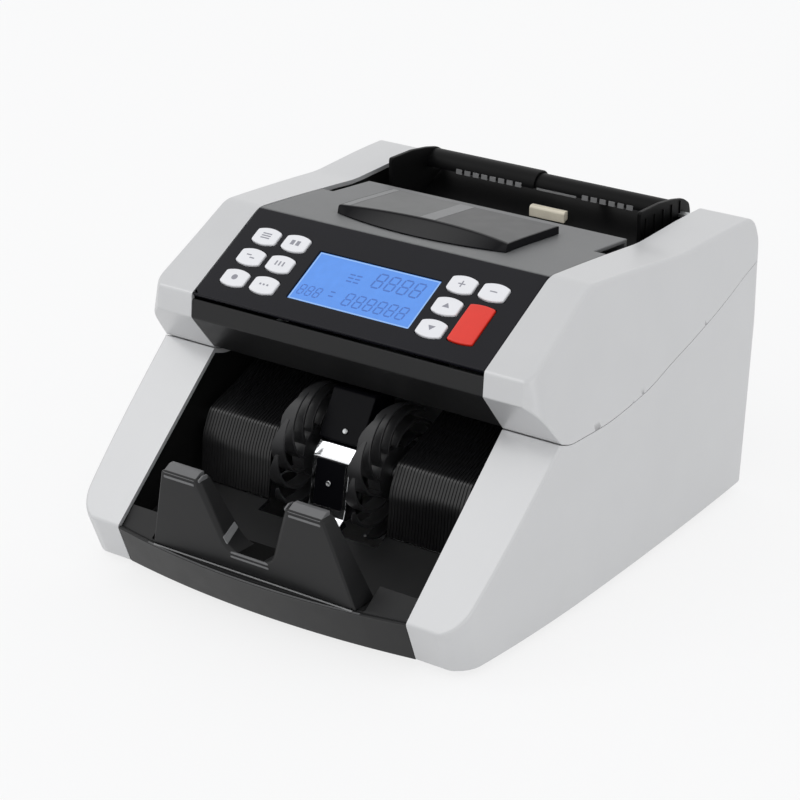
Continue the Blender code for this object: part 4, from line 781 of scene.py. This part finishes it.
def make_bracket():
    """The stop bracket: a hollow moulding that leans forwards, with a rib behind each finger's top edge. Pale
    bars, beads and a wall strip paint highlights on its edges, and a black sheet paints the shade in the sill's
    recess.
    """
    half = [(67.4, 25.0), (52.9, 74.6), (28.2, 74.6), (13.4, 35.7)]
    corners = half + [(-x, z) for x, z in reversed(half)]
    foot, top = 25.0, 77.0

    def front(z):
        return -13.2 - 8.0 * (z - foot) / (top - foot)

    def face(x, z):
        return -front(z)

    def rim(x, z):
        return -front(z) - (16.5 - 7.5 * (z - foot) / (top - foot))

    cuts = [0.6, 2.2, 2.2, 7.5, 7.5, 2.2, 2.2, 0.6]
    rims = [1.3, 1.0, 3.0, 1.2, 3.0, 1.0, 1.3, 0.3]
    bm = bmesh.new()
    loop, radii, counts = loop_points(corners, cuts, 3, rims, steps=7)
    low, high = rounded_wall(bm, FRONT, loop, radii, rim, face, soft_low=False)
    cap(bm, FRONT, [high], face)
    inner, _, _ = loop_points(inset(corners, 2.2), cuts, 3, 0, counts=counts, steps=7)

    def inner_face(x, z):
        return face(x, z) - 2.2

    def bead_low(x, z):
        return face(x, z) - 0.6

    def bead_high(x, z):
        return face(x, z) + 0.4

    bridge(bm, ring(bm, FRONT, low, rim), ring(bm, FRONT, inner, rim))
    bridge(bm, ring(bm, FRONT, inner, rim), ring(bm, FRONT, inner, inner_face))
    cap(bm, FRONT, [inner], inner_face)
    piece("bracket_shell", close_up(bm, "bracket_shell"), "dark", stands_for=["stop_bracket"], crease=42)
    # Pale bars on the fingers' tops, nubs at their inner corners and beads along the front and the sill paint
    # their highlights.
    highlight_bars, recess = bmesh.new(), bmesh.new()
    for sign in (-1, 1):
        bar = [(-12.3, 73.4), (-12.3, 76.8), (-15.4, 76.9), (-20.7, 74.0), (-20.7, 73.4)]
        add_slab(highlight_bars, [bar], SIDE, *sorted((sign * 30.6, sign * 51.6)), soft=0.35, cuts=0.5)
        corner_highlight = [(-12.8, 73.0), (-12.8, 75.6), (-16.5, 76.0), (-19.8, 74.4), (-19.8, 73.0)]
        add_slab(highlight_bars, [corner_highlight], SIDE, *sorted((sign * 27.9, sign * 29.0)), soft=0.3, cuts=0.5)
        bead = rectangle((sign * 41.2, 71.2), 20.4, 1.5)
        add_slab(highlight_bars, [bead], FRONT, bead_low, bead_high, soft=0.35, cuts=0.6)
    add_slab(highlight_bars, [rectangle((0.1, -14.2), 25.2, 1.2)], PLAN, 35.0, 36.2, soft=0.35, cuts=0.4)
    edge = rectangle((0.1, 33.3), 25.2, 1.3)
    add_slab(highlight_bars, [edge], FRONT, bead_low, bead_high, soft=0.35, cuts=0.5)
    # A thin black sheet on the sill paints the shade inside its recess.
    add_slab(recess, [rectangle((0.1, -5.7), 25.6, 15.4)], PLAN, 35.2, 35.95, soft=0.05)
    # A pale strip on the left finger's inner wall paints the highlight where the wall bends into the sill.
    wall_highlight = [(-14.4, 39.6), (-15.4, 43.6), (-4.3, 47.8), (-3.0, 44.5)]
    slope = 0.3654
    wall_highlight_sections = [[CASE @ Vector((lift - 13.4 - slope * (z - 35.7), y, z)) for y, z in wall_highlight]
           for lift in (-0.4, 0.25)]
    piece("bracket_wall_highlight", loft("bracket_wall_highlight", wall_highlight_sections), "band")
    piece("bracket_edge_highlights", close_up(highlight_bars, "bracket_edge_highlights"), "cap")
    piece("bracket_recess_shade", close_up(recess, "bracket_recess_shade"), "hole")


GUIDE_LINE = [(51.794, 33.603), (53.012, 42.004), (53.998, 50.594), (54.491, 58.995), (61.393, 72.0),
              (66.004, 74.003), (91.988, 83.007), (122.003, 95.996)]


def smooth_line(points, rounds, steps=5):
    """An open line with its inner corners rounded."""
    points = [Vector(p) for p in points]
    made = [points[0]]
    for i in range(1, len(points) - 1):
        a, b, c = points[i - 1: i + 2]
        cut = min(rounds, 0.46 * (a - b).length, 0.46 * (c - b).length)
        p, q = b + (a - b).normalized() * cut, b + (c - b).normalized() * cut
        made += [(1 - k / steps) ** 2 * p + 2 * k / steps * (1 - k / steps) * b + (k / steps) ** 2 * q
                 for k in range(steps + 1)]
    return made + [points[-1]]


def make_note_guides():
    """The walls behind the stack, with fine upright ribs."""
    line = smooth_line(GUIDE_LINE, 9)
    rib, pitch = 0.45, 2.0
    for hand, sign in (("left", -1), ("right", 1)):
        sections = []
        x = 40.0
        lifts = []
        while x < 87.5:
            lifts += [(x, 0.0), (x + 0.9, 0.0), (x + 1.1, rib), (x + 1.8, rib)]
            x += pitch
        lifts.append((88.0, 0.0))
        for x, lift in lifts:
            outline = strip([p + Vector((-1, 1)).normalized() * lift for p in line], 1.8 + lift)
            sections.append([SIDE @ Vector((p[0], p[1], sign * x)) for p in outline])
        piece(f"ribbed_guide_{hand}", loft("ribbed_guide", sections), "guide",
              stands_for=[f"note_guide_{hand}"], crease=35)


WHEEL = (74.994, 58.995)
WHEEL_RADIUS = 39.0
HUB_RADIUS = 14.5
WHEEL_PLACE = 25.6
WHEEL_BORE = 4.4
FINGERS = 12
FINGER_SPAN = math.radians(75)
FINGER_PHASE = math.radians(14)
WHEEL_HALF = 4.3
TIP_WIDTH = 1.8
TAPER_SHARE = 0.33
FINGER_SOFT = 0.3


def finger_sections(tip, middle, steps=14):
    """A curved finger's sections from its narrow tip to its root in the hub."""
    sections = []
    for i in range(steps + 1):
        s = i / steps
        radius = WHEEL_RADIUS - 0.6 - (WHEEL_RADIUS - HUB_RADIUS) * s ** 1.6
        half = 0.6 + 1.0 * s
        angle = tip + FINGER_SPAN * s
        outward = Vector((math.cos(angle), math.sin(angle)))
        width = TIP_WIDTH + (2 * WHEEL_HALF - TIP_WIDTH) * min(s / TAPER_SHARE, 1)
        right = middle + WHEEL_HALF
        left = right - width
        inner_right, inner_left, bevel = right - FINGER_SOFT, left + FINGER_SOFT, 1 - FINGER_SOFT / half
        section = []
        for side, x in ((1, inner_left), (1, inner_right), (bevel, right), (-bevel, right),
                        (-1, inner_right), (-1, inner_left), (-bevel, left), (bevel, left)):
            p = Vector(WHEEL) + outward * (radius + side * half)
            section.append(SIDE @ Vector((p.x, p.y, x)))
        sections.append(section)
    return sections


def make_wheels():
    """Stacker wheels: curved fingers that widen from their tips, on a hub."""
    for hand, sign in (("left", -1), ("right", 1)):
        middle = sign * WHEEL_PLACE
        bm = bmesh.new()
        for k in range(FINGERS):
            rings = []
            for section in finger_sections(2 * math.pi * k / FINGERS + FINGER_PHASE, middle):
                rings.append([bm.verts.new(p) for p in section])
            for a, b in zip(rings, rings[1:]):
                bridge(bm, a, b)
            bm.faces.new(rings[0])
            bm.faces.new(rings[-1])
        hub = [circle(WHEEL, HUB_RADIUS + 0.6, 48), circle(WHEEL, WHEEL_BORE, 24)]
        add_slab(bm, hub, SIDE, middle - WHEEL_HALF + 0.2, middle + WHEEL_HALF - 0.2, soft=0.4, steps=2)
        piece(f"finger_wheel_{hand}", close_up(bm, f"finger_wheel_{hand}"), "finger", body="stacker",
              stands_for=[f"stacker_wheel_{hand}"])


POST_FRONT = [(57.101, 65.895), (52.287, 40.193)]


def make_post():
    """The polished post between the wheels, a black strip on its front that paints the chrome's dark reflection
    there, a lens, and the sensor housing above.
    """
    post = [(62.988, 72.295), *POST_FRONT, (50.489, 35.19), (46.11, 32.258), (52.2, 33.81), (68.005, 33.81),
            (68.005, 72.295)]
    piece("polished_post", slab("polished_post", [post], SIDE, -12.2, 12.2, soft=0.35, cuts=0.8, spacing=400),
          "chrome", stands_for=["centre_post"], crease=30)
    high, low = Vector(POST_FRONT[0]), Vector(POST_FRONT[1])
    # A black strip on the post's front paints the chrome's dark reflection there.
    reflection_strip = strip([high + Vector((-0.4, -1.0)), low + Vector((-0.5, -2.0))], -0.7)
    piece("post_dark_reflection", slab("post_dark_reflection", [reflection_strip], SIDE, -9.6, 9.6, soft=0.2, cuts=0.2), "jet")
    for name, look, place, aim in (("post_lens", "steel", (0, 53.9, 52.5), (0, -0.983, 0.184)),
                                   ("housing_lens", "steel", (2.0, 66.6, 79.2), (0, -0.864, 0.504))):
        profile = [(0, 0.1), (1.3, 0.1), (1.6, 0.35), (1.3, 0.6), (0.7, 0.45), (0, 0.4)]
        piece(name, turned(name, profile, place, aim, steps=20), look)
    housing = [(63.307, 72.899), (70.992, 86.078), (78.3, 98.325), (95.99, 98.325), (95.99, 72.899)]
    piece("sensor_block", slab("sensor_block", [housing], SIDE, -14.0, 14.0, soft=0.8, cuts=2.0, spacing=400),
          "jet", stands_for=["sensor_housing"])
    throat = strip([(78.9, 101.8), (80.9, 100.3), (127.6, 100.3)], -1.8)
    piece("throat_lip", slab("throat_lip", [throat], SIDE, -MOUTH, MOUTH, soft=0.5, cuts=0.5), "dark",
          stands_for=["throat_plate"])


# Hopper

RAIL = (272.6, 160.943)
FLOOR_LINE = [(286.375, 155.768), (281.59, 154.474), (221.995, 128.513), (217.5, 124.2)]


def floor_height(y):
    return float(np.interp(y, [FLOOR_LINE[2][0], FLOOR_LINE[1][0]], [FLOOR_LINE[2][1], FLOOR_LINE[1][1]]))


FIN_TOP = [(227.998, 174.743), (250.009, 174.398), (265.35, 172.328), (275.79, 169.999), (282.46, 165.945)]


def make_hopper_guides():
    """Two sliding guides: an upright plate with ribs outside, and a half tube over the rail. Pale dashes along the
    tube's lower edge paint the highlights on its ribs.
    """
    fin = [*FIN_TOP, (284.2, 160.943), (284.2, 156.2), (281.59, 155.337), (227.998, 132.0)]
    specs = (("left", -1, 8.8, -84.7, -7.5), ("right", 1, 7.3, -20.0, 84.7))
    for hand, sign, radius, low, high in specs:
        middle = sign * 84.7
        bm = bmesh.new()
        plate = [fin, circle(RAIL, 3.0, 20)]
        add_slab(bm, plate, SIDE, middle - 1.25, middle + 1.25, soft=0.5, cuts=2.0, spacing=6)
        ring_line = arc(RAIL, radius, 0, 180, 24) + arc(RAIL, radius - 1.2, 180, 0, 24)
        add_slab(bm, [ring_line], SIDE, low, high, soft=0.25, steps=2)
        for k in range(5):
            y = 233 + k * 9.5
            rib = [(y, floor_height(y) + 8), (y + 1.4, floor_height(y) + 8), (y + 1.4, 170), (y, 170)]
            add_slab(bm, [rib], SIDE, *sorted((middle, middle + sign * 1.9)), soft=0.3, steps=2)
        piece(f"guide_shell_{hand}", close_up(bm, f"guide_shell_{hand}"), "black", body=f"guide_{hand}",
              stands_for=[f"hopper_guide_{hand}"])
        # The dashes along the tube's lower front edge are small ribs, coloured pale to paint their highlights; the
        # long one on the right paints the highlight along the tube's edge.
        ribs = bmesh.new()
        front = RAIL[0] - radius
        painted_highlight_dash = [(front - 0.4, 160.2), (front + 1.2, 160.2), (front + 1.2, 163.0), (front - 0.2, 163.0)]
        for middle in (range(-60, -12, 6) if sign < 0 else range(27, 62, 6)):
            add_slab(ribs, [painted_highlight_dash], SIDE, middle - 2.1, middle + 2.1, soft=0.25, steps=2)
        if sign > 0:
            long_edge_highlight = [(front - 0.35, 160.4), (front + 1.0, 160.4), (front + 1.0, 161.6),
                         (front - 0.3, 161.6)]
            add_slab(ribs, [long_edge_highlight], SIDE, -6.0, 21.0, soft=0.25, steps=2)
        piece(f"guide_rib_highlights_{hand}", close_up(ribs, f"guide_rib_highlights_{hand}"), "painted_highlight_dash", body=f"guide_{hand}")


def make_friction_block():
    """The ivory rubber block on the hopper's floor, worn round along its top."""
    block = [(260.1, 145.0), (264.5, 147.0), (264.5, 152.1), (261.4, 152.1), (260.1, 150.9)]
    piece("ivory_block", slab("ivory_block", [block], SIDE, 4.3 - 12.1, 4.3 + 12.1, soft=0.5, cuts=1.0),
          "ivory", stands_for=["friction_block"])


# Rear


def add_screw(bm, where, radius=2.6):
    """A low domed screw head with a cross recess."""
    cross = [(-0.35, -1.4), (0.35, -1.4), (0.35, -0.35), (1.4, -0.35), (1.4, 0.35), (0.35, 0.35), (0.35, 1.4),
             (-0.35, 1.4), (-0.35, 0.35), (-1.4, 0.35), (-1.4, -0.35), (-0.35, -0.35)]
    add_slab(bm, [circle((0, 0), radius, 28), cross], where, -0.2, 0.45, soft=0.12, steps=2)
    add_slab(bm, [circle((0, 0), radius - 0.5, 20)], where, -0.3, 0.02, soft=0.05, steps=1)


REAR = CASE @ Matrix(((-1, 0, 0, 0), (0, 0, 1, 0), (0, 1, 0, 0), (0, 0, 0, 1)))
REAR_FACE = 286.2
SOCKET = (52.9, 51.75)
SOCKET_SIZE = (27.0, 20.0)
SWITCH = (-52.9, 51.75)
SWITCH_SIZE = (13.0, 17.2)
KNOB = (28.0, 283.4)
KNOB_RADIUS = 2.7
FLUTE = 0.22


def make_rear():
    """The rear cover with its vents, screws, mains socket and switch, and the adjusting knob above it."""
    outer = [(-MOUTH, 0.4), (MOUTH, 0.4), (MOUTH, 151.6), (-MOUTH, 151.6)]
    holes = [rectangle(SOCKET, SOCKET_SIZE[0] + 0.8, SOCKET_SIZE[1] + 0.8),
             rectangle(SWITCH, SWITCH_SIZE[0] + 1.2, SWITCH_SIZE[1] + 1.2)]
    for side in (-1, 1):
        holes += [rectangle((side * 40.0, 92.0 + 5.2 * k), 42.0, 2.2) for k in range(8)]
    bm = bmesh.new()
    add_slab(bm, [outer] + holes, REAR, REAR_FACE - SHEET, REAR_FACE, soft=0.35, cuts=0.8, steps=2)
    piece("rear_panel", close_up(bm, "rear_panel"), "dark", stands_for=["rear_cover"])
    bm = bmesh.new()
    for u, v in ((-88, 8), (88, 8), (-88, 144), (88, 144), (-88, 76), (88, 76)):
        add_screw(bm, REAR @ Matrix.Translation((u, v, REAR_FACE)))
    piece("rear_screws", close_up(bm, "rear_screws"), "steel")
    bm = bmesh.new()
    for u in (-5.5, 0, 5.5):
        add_slab(bm, [rectangle((SOCKET[0] + u, SOCKET[1] + (1.8 if u == 0 else -1.2)), 1.2, 4.0)], REAR,
                 REAR_FACE - 15, REAR_FACE - 4, soft=0.3, steps=2)
    piece("socket_pins", close_up(bm, "socket_pins"), "steel")
    knurl = []
    for i in range(40):
        radius, angle = KNOB_RADIUS - FLUTE * (i % 2), math.pi * i / 20
        knurl.append((KNOB[0] + radius * math.cos(angle), KNOB[1] + radius * math.sin(angle)))
    bm = bmesh.new()
    add_slab(bm, [knurl], PLAN, 156.15, 163.7, soft=0.1, steps=2)
    add_slab(bm, [circle(KNOB, 2.2, 32)], PLAN, 163.4, 163.95, soft=0.2, steps=2)
    piece("knob_body", close_up(bm, "knob_body"), "black", body="knob", stands_for=["adjusting_knob"])
    pointer = slab("knob_pointer", [rectangle((KNOB[0], KNOB[1] - 1.1), 0.5, 1.6)], PLAN, 163.8, 164.08, soft=0.05)
    piece("knob_pointer", pointer, "key", body="knob")


# Plain nodes that keep their shape

KEPT = {
    "frame": ["side_plate_left", "side_plate_right", "power_switch"],
    "steel": ["base_plate", "guide_rail", "feed_shaft", "stacker_shaft", "pickup_shaft", "drive_motor",
              "motor_pulley", "power_supply"],
    "rubber": ["foot_front_left", "foot_front_right", "foot_rear_left", "foot_rear_right", "feed_roller_left",
               "feed_roller_right", "pickup_roller_left", "pickup_roller_right", "drive_belt", "stacker_belt",
               "pickup_belt"],
    "dark": ["tray_floor"],
    "black": ["hopper_floor", "power_inlet"],
    "board": ["control_board"],
}


def dress_kept_nodes():
    for look, names in KEPT.items():
        for name in names:
            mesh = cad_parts[name].data
            mesh.materials.clear()
            mesh.materials.append(LOOKS[look][1])


# Stage


def area_light(name, place, target, size, power, colour=(1, 1, 1)):
    lamp = bpy.data.lights.new(name, "AREA")
    lamp.shape = "RECTANGLE"
    lamp.size, lamp.size_y = size
    lamp.energy = power
    lamp.color = colour
    obj = bpy.data.objects.new(name, lamp)
    bpy.context.scene.collection.objects.link(obj)
    obj.location = place
    obj.rotation_euler = (Vector(target) - Vector(place)).to_track_quat("-Z", "Y").to_euler()
    return obj


def white_where_seen(nodes, links, lit, output, white_kind, share):
    """Shows white, by its share, to the camera and in reflections, and the lit shader to the rest."""
    path = nodes.new("ShaderNodeLightPath")
    seen = path.outputs["Is Camera Ray"]
    for kind in ("Is Glossy Ray", "Is Transmission Ray"):
        both = nodes.new("ShaderNodeMath")
        both.operation = "MAXIMUM"
        links.new(seen, both.inputs[0])
        links.new(path.outputs[kind], both.inputs[1])
        seen = both.outputs["Value"]
    part = nodes.new("ShaderNodeMath")
    part.operation = "MULTIPLY"
    part.inputs[1].default_value = share
    links.new(seen, part.inputs[0])
    white = nodes.new(white_kind)
    white.inputs["Color"].default_value = (1, 1, 1, 1)
    white.inputs["Strength"].default_value = 1.0
    mix = nodes.new("ShaderNodeMixShader")
    links.new(part.outputs["Value"], mix.inputs["Fac"])
    links.new(lit, mix.inputs[1])
    links.new(white.outputs[0], mix.inputs[2])
    links.new(mix.outputs["Shader"], output.inputs["Surface"])


FLOOR_WHITE = 0.78


def make_stage():
    world = bpy.data.worlds.new("studio")
    bpy.context.scene.world = world
    world.use_nodes = True
    nodes, links = world.node_tree.nodes, world.node_tree.links
    ground = nodes["Background"]
    ground.inputs["Color"].default_value = (0.82, 0.83, 0.85, 1)
    ground.inputs["Strength"].default_value = 1.0
    white_where_seen(nodes, links, ground.outputs["Background"], nodes["World Output"],
                     "ShaderNodeBackground", 1.0)
    bpy.ops.mesh.primitive_plane_add(size=6, location=(0, 0, -0.0002))
    floor = bpy.context.object
    floor.name = "floor"
    mat = bpy.data.materials.new("floor_white")
    mat.use_nodes = True
    shader_of(mat).inputs["Base Color"].default_value = (0.9, 0.9, 0.9, 1)
    shader_of(mat).inputs["Roughness"].default_value = 0.9
    nodes, links = mat.node_tree.nodes, mat.node_tree.links
    white_where_seen(nodes, links, shader_of(mat).outputs["BSDF"], nodes["Material Output"],
                     "ShaderNodeEmission", FLOOR_WHITE)
    floor.data.materials.append(mat)
    area_light("key_box", (-1.15, -0.8, 1.65), (0, 0, 0.1), (0.6, 0.6), 2.2)
    area_light("front_box", (-0.5, -1.7, 1.2), (0, 0, 0.08), (1.2, 0.9), 2.0)
    area_light("right_box", (1.9, -0.6, 0.25), (0, 0, 0.1), (1.2, 0.8), 1.5)
    view = bpy.context.scene.view_settings
    view.view_transform = "Standard"


def make_camera():
    """The photograph's camera: its place, aim and lens, solved from the object's own edges."""
    lens = bpy.data.cameras.new("camera")
    lens.sensor_width = 36.0
    lens.lens = 112.12
    lens.clip_start, lens.clip_end = 0.05, 50
    obj = bpy.data.objects.new("camera", lens)
    bpy.context.scene.collection.objects.link(obj)
    obj.location = (0.7385, -1.043902, 0.6229)
    azimuth, elevation = math.radians(35.66), math.radians(23.10)
    aim = Vector((-math.sin(azimuth) * math.cos(elevation), math.cos(azimuth) * math.cos(elevation),
                  -math.sin(elevation)))
    obj.rotation_euler = aim.to_track_quat("-Z", "Y").to_euler()
    bpy.context.scene.camera = obj


make_camera()
make_stage()
dress_kept_nodes()
make_covers()
make_panel()
make_display()
make_keys()
make_fascia()
make_top_cover()
make_lid()
make_front_base()
make_bracket()
make_note_guides()
make_wheels()
make_post()
make_hopper_guides()
make_friction_block()
make_rear()
